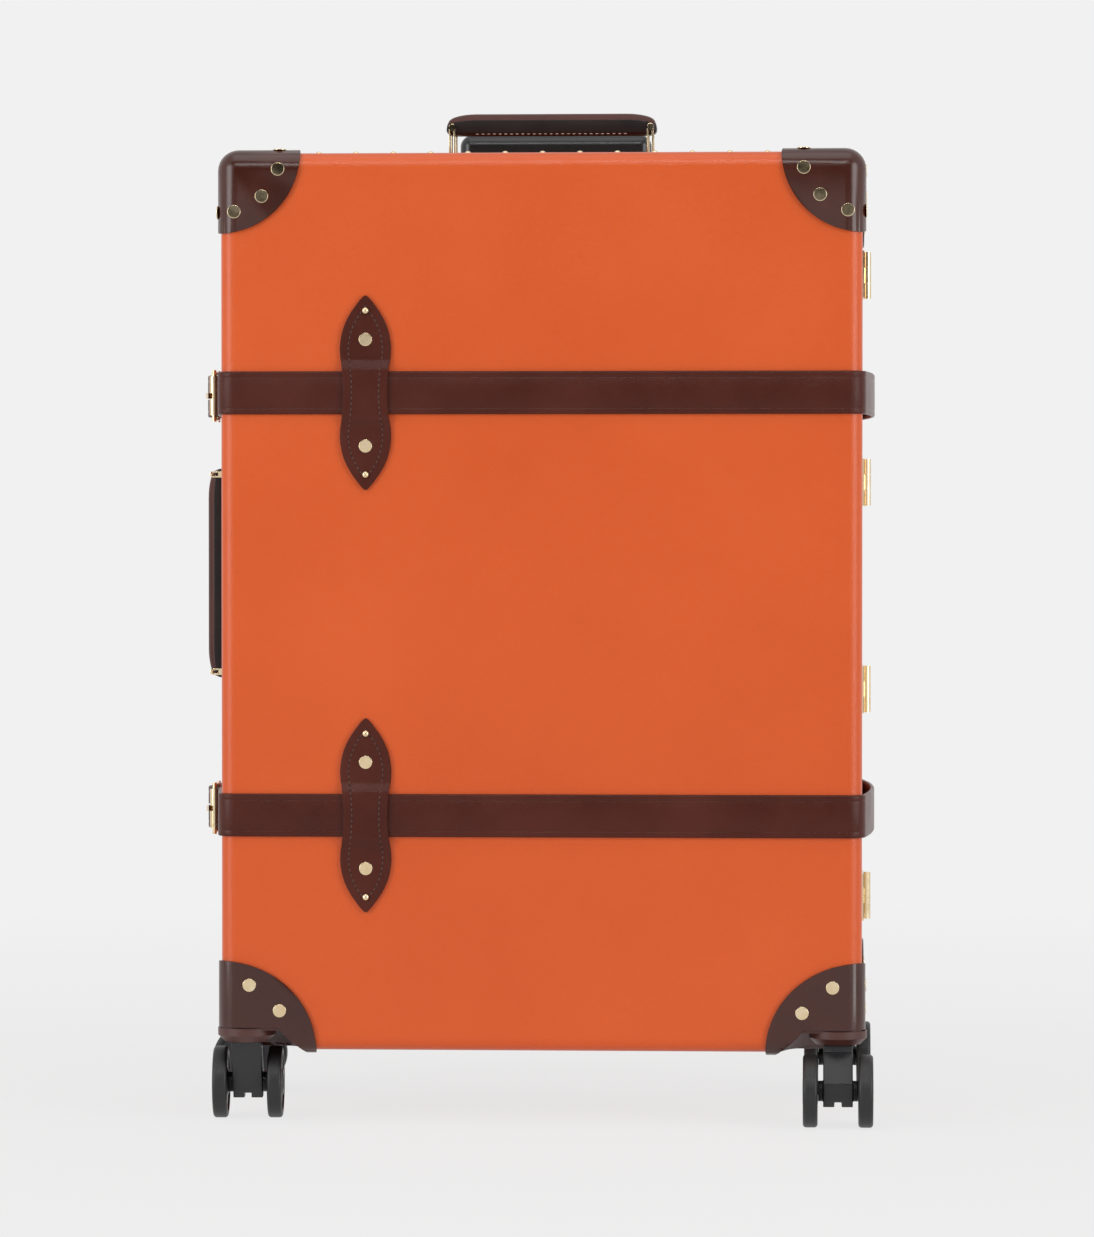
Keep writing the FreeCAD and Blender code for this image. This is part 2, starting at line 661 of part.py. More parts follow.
SIDE_OUT = f"({HALF_W} + strap_thickness)"
TURN_END = f"({HEEL_Y} + turn_length)"
RAMP_END = f"({HEEL_Y} + turn_ramp)"
LOOP_BACK = f"({HEEL_Y} + {LOOP_R})"

for level, place_z in STRAP_LEVELS.items():
    bottom = ("0", "0", f"{place_z} - strap_width / 2")
    node(wrap(f"{level}_front_run", -1, place_z), f"{level}_strap_front")

    # Tongue: under the roller, up through the frame and down on the fixed end
    under = [
        ("0", FRONT_END),
        ("strap_slack", f"{ROLLER_Y} - 2 * roller_radius"),
        ("strap_slack", f"{ROLLER_Y} + strap_thickness"),
        (OVER_LOOP, f"{HEEL_Y} - {LOOP_R}"),
        (OVER_LOOP, LOOP_BACK),
        (f"{TURN_HIGH} + fit_gap", RAMP_END),
        (f"{TURN_HIGH} + fit_gap", TURN_END),
        (f"{TURN_HIGH} - strap_thickness", f"{HEEL_Y} + tongue_length"),
    ]
    over = [(f"{u} + strap_thickness", y) for u, y in reversed(under)]
    profile = [on_left(u, y) for u, y in under + over]
    tongue = pad(f"{level}_tongue", "XY_Plane", profile, "strap_width", bottom)
    gap = prong_gap(f"{level}_tongue_gap", place_z, f"{ROLLER_Y} + 2 * roller_radius", LOOP_BACK)
    node(cut(f"{level}_tongue_cut", tongue, gap), f"{level}_strap_tongue")

    # Back run, with its end turned round the heel bar of the buckle
    turned = [
        ("0", BACK_END), (LOOP_LOW, TURN_END), (LOOP_LOW, HEEL_Y), (BAR_U, f"{HEEL_Y} - {LOOP_R}"),
        (LOOP_HIGH, HEEL_Y), (LOOP_HIGH, LOOP_BACK), (TURN_HIGH, RAMP_END), (TURN_HIGH, TURN_END),
        (f"{LOOP_LOW} + strap_thickness", TURN_END), ("strap_thickness", BACK_END),
    ]
    loop_arcs = {2: (LOOP_R, 1), 3: (LOOP_R, 1)}
    profile = [on_left(u, y) for u, y in turned]
    fold = pad(f"{level}_turned_end", "XY_Plane", profile, "strap_width", bottom, arcs=loop_arcs)
    whole = fuse(f"{level}_back_leather", wrap(f"{level}_back_run", 1, place_z), fold)
    bar_foot = (*on_left(BAR_U, HEEL_Y), f"{place_z} - buckle_height / 2")
    eye = cylinder(f"{level}_heel_eye", "bar_radius + running_gap", "buckle_height", bar_foot)
    gap = prong_gap(f"{level}_turn_gap", place_z, f"{HEEL_Y} - {LOOP_R} - fit_gap", LOOP_BACK)
    node(cut(f"{level}_back_cut", whole, eye, gap), f"{level}_strap_back")

    # Loose bow over the hinge side
    bow = [(HALF_W, FRONT_END), (SIDE_OUT, FRONT_END), (SIDE_OUT, BACK_END), (HALF_W, BACK_END)]
    bow_arcs = {1: (BOW_RADIUS, -1), 3: (BOW_RADIUS, 1)}
    loose = pad(f"{level}_bow", "XY_Plane", bow, "strap_width", bottom, arcs=bow_arcs)
    node(loose, f"{level}_strap_bow")

# Roller buckles: cast frame, sleeve on the front bar, prong on the heel bar
for level, place_z in STRAP_LEVELS.items():
    bars = []
    for word, y in (("roller", ROLLER_Y), ("heel", HEEL_Y)):
        spot = (*on_left(BAR_U, y), f"{place_z} - buckle_height / 2")
        bars.append(cylinder(f"{level}_{word}_bar", "bar_radius", "buckle_height", spot))
    for word, sign in (("high", 1), ("low", -1)):
        z = f"{place_z} + {sign} * (buckle_height / 2 - bar_radius)"
        spot = (*on_left(BAR_U, ROLLER_Y), z)
        bars.append(cylinder(f"{level}_{word}_bar", "side_bar_radius", "buckle_length", spot, "Y"))
    node(fuse(f"{level}_buckle", *bars), f"{level}_buckle_frame")

    spot = (*on_left(BAR_U, ROLLER_Y), f"{place_z} - roller_length / 2")
    sleeve = cylinder(f"{level}_sleeve", "roller_radius", "roller_length", spot)
    bore = cylinder(f"{level}_sleeve_bore", "bar_radius + running_gap", "roller_length", spot)
    node(cut(f"{level}_roller", sleeve, bore), f"{level}_buckle_roller")

    ring_r = "(bar_radius + running_gap + prong_thickness / 2)"
    rest_u = f"({BAR_U} + roller_radius + fit_gap)"
    spot = (*on_left(BAR_U, HEEL_Y), f"{place_z} - prong_width / 2")
    ring = cylinder(f"{level}_prong_ring", ring_r, "prong_width", spot)
    root_y = f"{HEEL_Y} + {ring_r} / 2"
    shank = [
        on_left(BAR_U, root_y),
        on_left(f"{BAR_U} + {ring_r}", root_y),
        on_left(f"{rest_u} + prong_thickness", ROLLER_Y),
        on_left(rest_u, f"{ROLLER_Y} - 2 * roller_radius"),
        on_left(rest_u, ROLLER_Y),
        on_left(BAR_U, f"{HEEL_Y} - {ring_r}"),
    ]
    shank_foot = ("0", "0", f"{place_z} - prong_width / 2")
    rod = pad(f"{level}_prong_rod", "XY_Plane", shank, "prong_width", shank_foot)
    bore = cylinder(f"{level}_prong_bore", "bar_radius + running_gap", "prong_width", spot)
    prong = cut(f"{level}_prong", fuse(f"{level}_prong_body", ring, rod), bore)
    node(prong, f"{level}_buckle_prong")

# Butt hinges on the right side, with three knuckles and a plain pin
AXIS_X = f"({HALF_W} + hinge_stand)"
KNUCKLE = "(hinge_height / 3)"
leaves = {"lid": [], "base": []}
pins = []
PLATE_OUT = f"({HALF_W} + leaf_thickness)"
for i in range(HINGE_COUNT):
    low = f"(case_lift + hinge_first + {i} * hinge_pitch - hinge_height / 2)"
    for half, sign, floors in (("lid", -1, (1,)), ("base", 1, (0, 2))):
        name = f"{half}_hinge_{i}"
        near = f"{PARTING} + {sign} * (knuckle_radius + fit_gap)"
        far = f"{PARTING} + {sign} * (knuckle_radius + hinge_leaf)"
        y_low, y_high = (far, near) if sign < 0 else (near, far)
        plate_high = (PLATE_OUT, y_high, f"{low} + hinge_height")
        pieces = [box(name + "_plate", (HALF_W, y_low, low), plate_high)]
        web_low, web_high = (near, PARTING) if sign < 0 else (PARTING, near)
        for floor in floors:
            z_low = f"{low} + {floor} * {KNUCKLE} + fit_gap / 2"
            z_high = f"{low} + {floor + 1} * {KNUCKLE} - fit_gap / 2"
            web_corner = (f"{HALF_W} + fit_gap", web_low, z_low)
            pieces.append(box(f"{name}_web{floor}", web_corner, (PLATE_OUT, web_high, z_high)))
            foot = (AXIS_X, PARTING, z_low)
            pieces.append(cylinder(f"{name}_knuckle{floor}", "knuckle_radius", f"{KNUCKLE} - fit_gap", foot))
        bore = cylinder(name + "_bore", "hinge_pin + running_gap", "hinge_height", (AXIS_X, PARTING, low))
        leaves[half].append(cut(name, fuse(name + "_leaf", *pieces), bore))
    pins.append(cylinder(f"hinge_pin_{i}", "hinge_pin", "hinge_height", (AXIS_X, PARTING, low)))
for half, pair in leaves.items():
    node(group(f"{half}_leaf_group", pair), f"{half}_hinge_leaves")
node(group("hinge_pin_group", pins), "hinge_pins")

# Locks on the left side: case and slider on the base, hasp on the lid
LOCK_FRONT = f"({BASE_EDGE} + fit_gap)"
HASP_BACK = f"({LID_EDGE} - fit_gap)"
BLADE_OUT = "(hasp_stand + hasp_thickness)"
SLIDER_Y = f"({LOCK_FRONT} + lock_width / 2)"
TRACK_FLOOR = "(lock_depth - track_depth)"
KNOB_FOOT = "(lock_depth + fit_gap / 3)"


def left_block(name, off, along, middle, below, above):
    """A box on the left face: distances off the shell, places along Y, heights about a middle."""
    return box(
        name,
        (f"-{HALF_W} - ({off[1]})", along[0], f"{middle} - ({below})"),
        (f"-{HALF_W} - ({off[0]})", along[1], f"{middle} + {above}"),
    )


def about(middle, width, margin="0"):
    """Both ends of a width about a middle."""
    return (f"{middle} - ({width}) / 2 - {margin}", f"{middle} + ({width}) / 2 + {margin}")


cases = []
hasps = []
for level, sign in (("upper", 1), ("lower", -1)):
    middle = f"(case_lift + side_handle + {sign} * lock_offset)"
    body = left_block(
        f"{level}_lock_body", ("0", "lock_depth"), (LOCK_FRONT, f"{LOCK_FRONT} + lock_width"),
        middle, "lock_height / 2", "lock_height / 2",
    )
    throat = left_block(
        f"{level}_lock_throat", ("hasp_stand - 2 * fit_gap", f"{BLADE_OUT} + 2 * fit_gap"),
        (f"{LOCK_FRONT} - fit_gap", f"{HASP_BACK} + hasp_tongue + 4 * fit_gap"),
        middle, "hasp_blade / 2 + fit_gap", "hasp_blade / 2 + fit_gap",
    )
    track = left_block(
        f"{level}_lock_track", (TRACK_FLOOR, "lock_depth + fit_gap"),
        about(SLIDER_Y, "slider_stem", "fit_gap"),
        middle, "slider_stem + fit_gap", "slider_stem + slider_travel + fit_gap",
    )
    cases.append(cut(f"{level}_lock_case", body, throat, track))

    plate = left_block(
        f"{level}_hasp_plate", ("0", BLADE_OUT), (f"{HASP_BACK} - hasp_width", HASP_BACK),
        middle, "hasp_height / 2", "hasp_height / 2",
    )
    blade = left_block(
        f"{level}_hasp_blade", ("hasp_stand", BLADE_OUT), (HASP_BACK, f"{HASP_BACK} + hasp_tongue"),
        middle, "hasp_blade / 2", "hasp_blade / 2",
    )
    hasps.append(fuse(f"{level}_hasp", plate, blade))

    knob = left_block(
        f"{level}_slider_knob", (KNOB_FOOT, f"{KNOB_FOOT} + slider_rise"), about(SLIDER_Y, "slider_width"),
        middle, "slider_height / 2", "slider_height / 2",
    )
    stem = left_block(
        f"{level}_slider_stem", (f"{TRACK_FLOOR} + fit_gap", KNOB_FOOT), about(SLIDER_Y, "slider_stem"),
        middle, "slider_stem", "slider_stem",
    )
    node(fuse(f"{level}_slider", knob, stem), f"{level}_lock_slider")
node(group("lock_case_pair", cases), "lock_cases")
node(group("lock_hasp_pair", hasps), "lock_hasps")

# Carrying handles: leather grip, two cross pins, two slotted brackets.
# Each is built standing on z = 0 and then set on the top or the left face.
SIDE_SPOT = (f"-{HALF_W}", "handle_setback", "case_lift + side_handle")
HANDLE_SPOTS = {
    "top": (("0", "handle_setback", TOP), TURNS["Z"], "0"),
    "side": (SIDE_SPOT, TURNS["-X"], "side_travel"),
}
HANDLE_REACH = {
    "top": ("handle_stand", "handle_travel", "post_height"),
    "side": ("side_stand", "side_travel", "side_post_height"),
}
POST_IN = "(grip_depth / 2 + fit_gap)"
POST_OUT = f"({POST_IN} + post_thickness)"
for where, (spot, turn, drop) in HANDLE_SPOTS.items():
    stand, travel, height = HANDLE_REACH[where]
    underside = f"({stand} - {drop})"
    pin_z = f"({underside} + pin_height)"
    slot_high = f"({stand} + pin_height + pin_radius + fit_gap)"
    slot_low = f"({stand} + pin_height - {travel} - pin_radius - fit_gap)"
    grip = pad(
        f"{where}_grip_form", "XY_Plane", rectangle("grip_length", "grip_depth"), "grip_thickness",
        ("0", "0", underside), round_edges="grip_round",
    )
    reach = f"({POST_OUT} + fit_gap)"
    grip_bores = []
    cross_pins = []
    brackets = []
    for side in (-1, 1):
        name = f"{where}_{'near' if side < 0 else 'far'}"
        x = f"({side} * post_spacing / 2)"
        bore_start = (x, "-grip_depth", pin_z)
        grip_bores.append(cylinder(name + "_bore", "pin_radius", "2 * grip_depth", bore_start, "Y"))
        rod = cylinder(name + "_rod", "pin_radius", f"2 * {reach}", (x, f"-{reach}", pin_z), "Y")
        heads = [
            cylinder(name + "_head_a", "pin_head", "pin_head_height", (x, reach, pin_z), "Y"),
            cylinder(name + "_head_b", "pin_head", "pin_head_height", (x, f"-{reach}", pin_z), "-Y"),
        ]
        cross_pins.append(fuse(name + "_pin", rod, *heads))
        foot = box(
            name + "_foot",
            (f"{x} - foot_length / 2", f"-{POST_OUT}", "0"),
            (f"{x} + foot_length / 2", POST_OUT, "foot_thickness"),
        )
        left, right = about(x, "post_width")
        uprights = [
            box(name + "_post_a", (left, POST_IN, "0"), (right, POST_OUT, height)),
            box(name + "_post_b", (left, f"-{POST_OUT}", "0"), (right, f"-{POST_IN}", height)),
        ]
        slot = box(
            name + "_slot",
            (f"{x} - pin_radius - fit_gap", f"-2 * {POST_OUT}", slot_low),
            (f"{x} + pin_radius + fit_gap", f"2 * {POST_OUT}", slot_high),
        )
        brackets.append(cut(name + "_bracket", fuse(name + "_posts", foot, *uprights), slot))
    finished = (
        (cut(f"{where}_grip", grip, *grip_bores), f"{where}_handle_grip"),
        (group(f"{where}_pins", cross_pins), f"{where}_handle_pins"),
        (group(f"{where}_brackets", brackets), f"{where}_handle_brackets"),
    )
    for piece, label in finished:
        node(place(piece, spot, turn), label)

# Telescopic trolley: fixed sleeves, sliding tubes, bezel, grip and release button
PULL_FOOT = f"({TOP} + bezel_height + fit_gap)"
PULL_TOP = f"({PULL_FOOT} + pull_height)"
SLEEVE_TOP = f"({TOP} - wall)"
sleeves = []
tubes = []
for i, side in enumerate((-1, 1)):
    sleeve_foot = f"{SLEEVE_TOP} - sleeve_length"
    bar = tube_block(f"sleeve_bar_{i}", side, SLEEVE_WIDTH, SLEEVE_DEPTH, sleeve_foot, SLEEVE_TOP)
    hollow = tube_block(f"sleeve_hollow_{i}", side, HOLE_WIDTH, HOLE_DEPTH, f"{sleeve_foot} - wall", TOP)
    sleeves.append(cut(f"sleeve_{i}", bar, hollow))
    tube_foot = f"{PULL_FOOT} - tube_length"
    bar = tube_block(f"tube_bar_{i}", side, "tube_width", "tube_depth", tube_foot, PULL_FOOT)
    hollow = tube_block(
        f"tube_hollow_{i}", side, "tube_width - 2 * tube_wall", "tube_depth - 2 * tube_wall",
        f"{tube_foot} - wall", PULL_FOOT,
    )
    tubes.append(cut(f"tube_{i}", bar, hollow))
node(group("sleeve_pair", sleeves), "trolley_sleeves")
node(group("tube_pair", tubes), "trolley_tubes")


def trolley_block(name, width, depth, low, high, radius=None):
    points = rectangle(width, depth, "0", TUBE_Y)
    return pad(name, "XY_Plane", points, f"({high}) - ({low})", ("0", "0", low), round_edges=radius)


plate = trolley_block("bezel_plate", "bezel_width", "bezel_depth", TOP, f"{TOP} + bezel_height")
node(cut("bezel", plate, *tube_holes), "trolley_bezel")
pull = trolley_block("pull_form", "pull_width", "pull_depth", PULL_FOOT, PULL_TOP, "pull_round")
BUTTON_LOW = f"({PULL_TOP} - button_depth)"
well = trolley_block(
    "button_well", "button_length + 2 * fit_gap", "button_width + 2 * fit_gap",
    f"{BUTTON_LOW} - button_travel - fit_gap", f"{PULL_TOP} + pull_round",
)
node(cut("pull", pull, well), "trolley_grip")
button = trolley_block("button", "button_length", "button_width", BUTTON_LOW, f"{PULL_TOP} + button_rise")
node(button, "trolley_button")

# Caster housings: moulded cups that line the notches and carry the swivel stems
CEILING = "(case_lift + notch_height)"
BOSS_LOW = f"({CEILING} - boss_height)"
housings = {"lid": [], "base": []}
for corner, (side_x, side_y, heading) in CASTERS.items():
    x, y = swivel_spot(side_x, side_y)
    hood = cone(f"cup_{corner}", "notch_mouth", "notch_ceiling", "notch_height", (x, y, "case_lift"))
    space = cone(
        f"cup_space_{corner}", "notch_mouth - housing_wall", "notch_ceiling - housing_wall",
        "notch_height - housing_wall", (x, y, "case_lift"),
    )
    cup = common(f"cup_wall_{corner}", cut(f"cup_shell_{corner}", hood, space), case_form)
    skirt = cone(
        f"boss_skirt_{corner}", "boss_radius - boss_chamfer", "boss_radius", "boss_chamfer", (x, y, BOSS_LOW),
    )
    drum_foot = f"({BOSS_LOW} + boss_chamfer)"
    drum_height = f"{CEILING} - housing_wall / 2 - {drum_foot}"
    drum = cylinder(f"boss_drum_{corner}", "boss_radius", drum_height, (x, y, drum_foot))
    bore_height = f"{CEILING} - housing_wall - {BOSS_LOW}"
    bore = cylinder(f"boss_bore_{corner}", "stem_radius + running_gap", bore_height, (x, y, BOSS_LOW))
    solid = cut(f"housing_{corner}", fuse(f"housing_body_{corner}", cup, skirt, drum), bore)
    housings["lid" if side_y < 0 else "base"].append(solid)
for half, pair in housings.items():
    node(group(f"{half}_housing_pair", pair), f"{half}_caster_housings")

# Twin-wheel casters, built round their own swivel axis with the trail along +Y
CROWN = f"({BOSS_LOW} - fit_gap)"
SPREAD = "(wheel_spread / 2)"
HUB_END = f"({SPREAD} - wheel_width - fit_gap)"
AXLE_END = f"({SPREAD} - 2 * fit_gap)"
NECK = "(fork_width / 2)"
FORK_LOW = "(wheel_radius - fork_foot)"
for corner, (side_x, side_y, heading) in CASTERS.items():
    spot = (*swivel_spot(side_x, side_y), "0")
    turn = FreeCAD.Rotation(FreeCAD.Vector(0, 0, 1), heading)
    side_view = [
        (f"-{NECK}", CROWN), ("-fork_waist", f"{CROWN} - fork_slope"),
        (f"trail - {NECK}", f"{FORK_LOW} + fork_slope"), ("trail - fork_slope", FORK_LOW),
        ("trail + fork_toe", FORK_LOW), ("trail + fork_heel", f"{FORK_LOW} + fork_slope"),
        ("trail + fork_heel", "wheel_radius + fork_slope"),
        (NECK, f"{CROWN} - fork_crown"), (NECK, CROWN),
    ]
    column = pad(f"fork_column_{corner}", "YZ_Plane", side_view, "fork_width", ("-fork_width / 2", "0", "0"))
    hub_start = (f"-{HUB_END}", "trail", "wheel_radius")
    hub = cylinder(f"fork_hub_{corner}", "hub_radius", f"2 * {HUB_END}", hub_start, "X")
    stem = cylinder(f"fork_stem_{corner}", "stem_radius", "boss_height - housing_wall", ("0", "0", CROWN))
    split = box(
        f"fork_split_{corner}",
        ("-fork_notch / 2", "0", "0"),
        ("fork_notch / 2", "3 * trail", "wheel_radius - hub_radius"),
    )
    bore_start = (f"-{SPREAD}", "trail", "wheel_radius")
    bore = cylinder(f"fork_bore_{corner}", "axle_radius", f"2 * {SPREAD}", bore_start, "X")
    fork = cut(f"fork_{corner}", fuse(f"fork_body_{corner}", column, hub, stem), split, bore)
    node(place(fork, spot, turn), f"{corner}_caster_fork")

    axle_start = (f"-{AXLE_END}", "trail", "wheel_radius")
    axle = cylinder(f"axle_rod_{corner}", "axle_radius", f"2 * {AXLE_END}", axle_start, "X")
    node(place(group(f"axle_{corner}", [axle]), spot, turn), f"{corner}_caster_axle")

    pair = []
    for side in (-1, 1):
        word = "left" if side < 0 else "right"
        wheel = doc.addObject("PartDesign::Body", f"wheel_{corner}_{word}")
        disc = wheel.newObject("Sketcher::SketchObject", wheel.Name + "_disc")
        disc.AttachmentSupport = [(origin_plane(wheel, "YZ_Plane"), "")]
        disc.MapMode = "FlatFace"
        for k, radius in enumerate(("wheel_radius", "axle_radius + running_gap")):
            disc.addGeometry(Part.Circle(FreeCAD.Vector(), FreeCAD.Vector(0, 0, 1), number(radius)))
            disc.addConstraint(Sketcher.Constraint("Coincident", k, 3, -1, 1))
            index = disc.addConstraint(Sketcher.Constraint("Radius", k, number(radius)))
            bind(disc, f"Constraints[{index}]", radius)
        tread = wheel.newObject("PartDesign::Pad", wheel.Name + "_tread")
        tread.Profile = disc
        bind(tread, "Length", "wheel_width")
        doc.recompute()
        shoulder = wheel.newObject("PartDesign::Fillet", wheel.Name + "_shoulder")
        rims = [
            f"Edge{i + 1}" for i, edge in enumerate(tread.Shape.Edges)
            if edge.Closed and abs(edge.Curve.Radius - number("wheel_radius")) < 1e-6
        ]
        shoulder.Base = (tread, rims)
        bind(shoulder, "Radius", "wheel_round")
        start = f"{SPREAD} - wheel_width" if side > 0 else f"-{SPREAD}"
        pair.append(place(wheel, (start, "trail", "wheel_radius")))
    node(place(group(f"wheels_{corner}", pair), spot, turn), f"{corner}_caster_wheels")

# Checks and files
doc.recompute()
faults = [obj.Name for obj in doc.Objects if "Invalid" in obj.State or "Error" in obj.State]
for piece in parts:
    if piece.Shape.isNull() or not piece.Shape.isValid() or not piece.Shape.Solids:
        faults.append(piece.Label)
if faults:
    raise RuntimeError("failed objects: " + ", ".join(faults))
os.makedirs("parts", exist_ok=True)
for piece in parts:
    piece.Shape.exportStep(f"parts/{piece.Label}.step")
    print(piece.Label, len(piece.Shape.Solids), round(piece.Shape.Volume))
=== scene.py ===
import math

import bmesh
import bpy
from mathutils import Matrix, Vector


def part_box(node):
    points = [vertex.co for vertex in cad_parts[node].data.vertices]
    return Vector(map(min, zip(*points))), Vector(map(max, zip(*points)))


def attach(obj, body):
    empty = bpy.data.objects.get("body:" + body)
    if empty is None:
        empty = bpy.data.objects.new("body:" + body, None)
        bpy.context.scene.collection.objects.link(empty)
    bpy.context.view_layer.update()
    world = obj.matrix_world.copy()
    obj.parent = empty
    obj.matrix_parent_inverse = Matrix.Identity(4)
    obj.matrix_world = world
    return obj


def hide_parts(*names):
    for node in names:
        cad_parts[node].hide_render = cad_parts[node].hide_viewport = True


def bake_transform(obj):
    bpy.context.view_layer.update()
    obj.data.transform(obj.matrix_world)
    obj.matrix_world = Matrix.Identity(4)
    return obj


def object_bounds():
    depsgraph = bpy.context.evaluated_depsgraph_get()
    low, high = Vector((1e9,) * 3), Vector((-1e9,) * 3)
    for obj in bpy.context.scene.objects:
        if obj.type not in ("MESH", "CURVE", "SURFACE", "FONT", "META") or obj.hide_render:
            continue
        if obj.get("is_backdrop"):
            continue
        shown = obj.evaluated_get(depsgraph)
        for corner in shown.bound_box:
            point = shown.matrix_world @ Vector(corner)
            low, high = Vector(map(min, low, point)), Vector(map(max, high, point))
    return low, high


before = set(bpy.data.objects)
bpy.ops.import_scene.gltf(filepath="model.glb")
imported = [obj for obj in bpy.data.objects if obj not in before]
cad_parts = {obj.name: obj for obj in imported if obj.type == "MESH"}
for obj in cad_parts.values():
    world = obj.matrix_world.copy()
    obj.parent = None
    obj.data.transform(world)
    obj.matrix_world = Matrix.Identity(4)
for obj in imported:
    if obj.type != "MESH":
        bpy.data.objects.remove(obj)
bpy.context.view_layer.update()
MM = 0.001

# Shell halves
# Two trays of vulcanised fibre board, pressed over a former and lacquered orange. The lacquer keeps
# the fine hide-like grain of the press plate, and its tone drifts slowly over the board.


def hide_grain_group():
    """Pebbled grain with a slow drift of tone, for lacquered board and leather."""
    group = bpy.data.node_groups.new("hide_grain", "ShaderNodeTree")
    group.interface.new_socket("Place", in_out="INPUT", socket_type="NodeSocketVector")
    group.interface.new_socket("Pebbles per metre", in_out="INPUT", socket_type="NodeSocketFloat")
    group.interface.new_socket("Drift per metre", in_out="INPUT", socket_type="NodeSocketFloat")
    group.interface.new_socket("Height", in_out="OUTPUT", socket_type="NodeSocketFloat")
    group.interface.new_socket("Tone", in_out="OUTPUT", socket_type="NodeSocketFloat")
    nodes, links = group.nodes, group.links
    given = nodes.new("NodeGroupInput")
    told = nodes.new("NodeGroupOutput")
    wander = nodes.new("ShaderNodeTexNoise")
    wander.inputs["Scale"].default_value = 260
    wander.inputs["Detail"].default_value = 2
    links.new(given.outputs["Place"], wander.inputs["Vector"])
    push = nodes.new("ShaderNodeVectorMath")
    push.operation = "MULTIPLY_ADD"
    push.inputs[1].default_value = (0.0012, 0.0012, 0.0012)
    links.new(wander.outputs["Color"], push.inputs[0])
    links.new(given.outputs["Place"], push.inputs[2])
    pebbles = nodes.new("ShaderNodeTexVoronoi")
    pebbles.feature = "SMOOTH_F1"
    pebbles.inputs["Smoothness"].default_value = 0.35
    links.new(push.outputs[0], pebbles.inputs["Vector"])
    links.new(given.outputs["Pebbles per metre"], pebbles.inputs["Scale"])
    dome = nodes.new("ShaderNodeMapRange")
    dome.inputs["From Min"].default_value = 0.15
    dome.inputs["From Max"].default_value = 0.75
    dome.inputs["To Min"].default_value = 1
    dome.inputs["To Max"].default_value = 0
    links.new(pebbles.outputs["Distance"], dome.inputs["Value"])
    links.new(dome.outputs["Result"], told.inputs["Height"])
    drift = nodes.new("ShaderNodeTexNoise")
    drift.inputs["Detail"].default_value = 4
    drift.inputs["Roughness"].default_value = 0.55
    links.new(given.outputs["Place"], drift.inputs["Vector"])
    links.new(given.outputs["Drift per metre"], drift.inputs["Scale"])
    links.new(drift.outputs["Fac"], told.inputs["Tone"])
    return group


hide_grain = hide_grain_group()


def finish(name):
    """A new material and the pieces of it that get wired: nodes, links, shader, place."""
    material = bpy.data.materials.new(name)
    material.use_nodes = True
    nodes, links = material.node_tree.nodes, material.node_tree.links
    shader = nodes["Principled BSDF"]
    place = nodes.new("ShaderNodeTexCoord").outputs["Object"]
    return material, nodes, links, shader, place


def grain_in(nodes, links, place, pebbles, drift):
    """The grain group set into a material with its own values."""
    grain = nodes.new("ShaderNodeGroup")
    grain.node_tree = hide_grain
    grain.inputs["Pebbles per metre"].default_value = pebbles
    grain.inputs["Drift per metre"].default_value = drift
    links.new(place, grain.inputs["Place"])
    return grain


def tones(nodes, links, value, stops):
    """A colour ramp over a value."""
    ramp = nodes.new("ShaderNodeValToRGB")
    while len(ramp.color_ramp.elements) < len(stops):
        ramp.color_ramp.elements.new(0.5)
    for element, (spot, colour) in zip(ramp.color_ramp.elements, stops):
        element.position = spot
        element.color = (*colour, 1)
    links.new(value, ramp.inputs["Fac"])
    return ramp.outputs["Color"]


def spread(nodes, links, value, low, high, start=0.0, stop=1.0):
    """A value mapped from start..stop to low..high."""
    scale = nodes.new("ShaderNodeMapRange")
    scale.inputs["From Min"].default_value = start
    scale.inputs["From Max"].default_value = stop
    scale.inputs["To Min"].default_value = low
    scale.inputs["To Max"].default_value = high
    links.new(value, scale.inputs["Value"])
    return scale.outputs["Result"]


def raised(nodes, links, shader, height, strength, depth):
    """A bump on the shader's normal."""
    bump = nodes.new("ShaderNodeBump")
    bump.inputs["Strength"].default_value = strength
    bump.inputs["Distance"].default_value = depth
    links.new(height, bump.inputs["Height"])
    links.new(bump.outputs["Normal"], shader.inputs["Normal"])


def tinted(nodes, links, shader, value, *stops):
    """The shader's colour from stops along a value."""
    links.new(tones(nodes, links, value, stops), shader.inputs["Base Color"])


def glossed(nodes, links, shader, value, low, high, start=0.3, stop=0.7):
    """The shader's roughness between two values."""
    links.new(spread(nodes, links, value, low, high, start, stop), shader.inputs["Roughness"])


def grained(name, pebbles, drift, stops, rough, shine, relief, depth=0.3 * MM):
    """A finish with hide grain, for lacquered board and leather."""
    material, nodes, links, shader, place = finish(name)
    grain = grain_in(nodes, links, place, pebbles, drift)
    tinted(nodes, links, shader, grain.outputs["Tone"], *stops)
    glossed(nodes, links, shader, grain.outputs["Tone"], *rough)
    shader.inputs["Specular IOR Level"].default_value = shine
    raised(nodes, links, shader, grain.outputs["Height"], relief, depth)
    return material


def dress(material, *names):
    """Give CAD nodes a material."""
    for name in names:
        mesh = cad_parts[name].data
        mesh.materials.clear()
        mesh.materials.append(material)


orange = grained(
    "orange_lacquer", pebbles=1150, drift=5, rough=(0.27, 0.35), shine=0.5, relief=0.24, depth=0.4 * MM,
    stops=(
        (0.30, (0.700, 0.094, 0.0085)), (0.52, (0.730, 0.102, 0.0100)), (0.75, (0.760, 0.111, 0.0125)),
    ),
)
dress(orange, "lid_shell", "base_shell")

# Rim frames
# Bent hardwood battens glued and pinned inside the edge of each half, so that the two halves close
# flush. The wood is oiled, with its grain running along the batten.


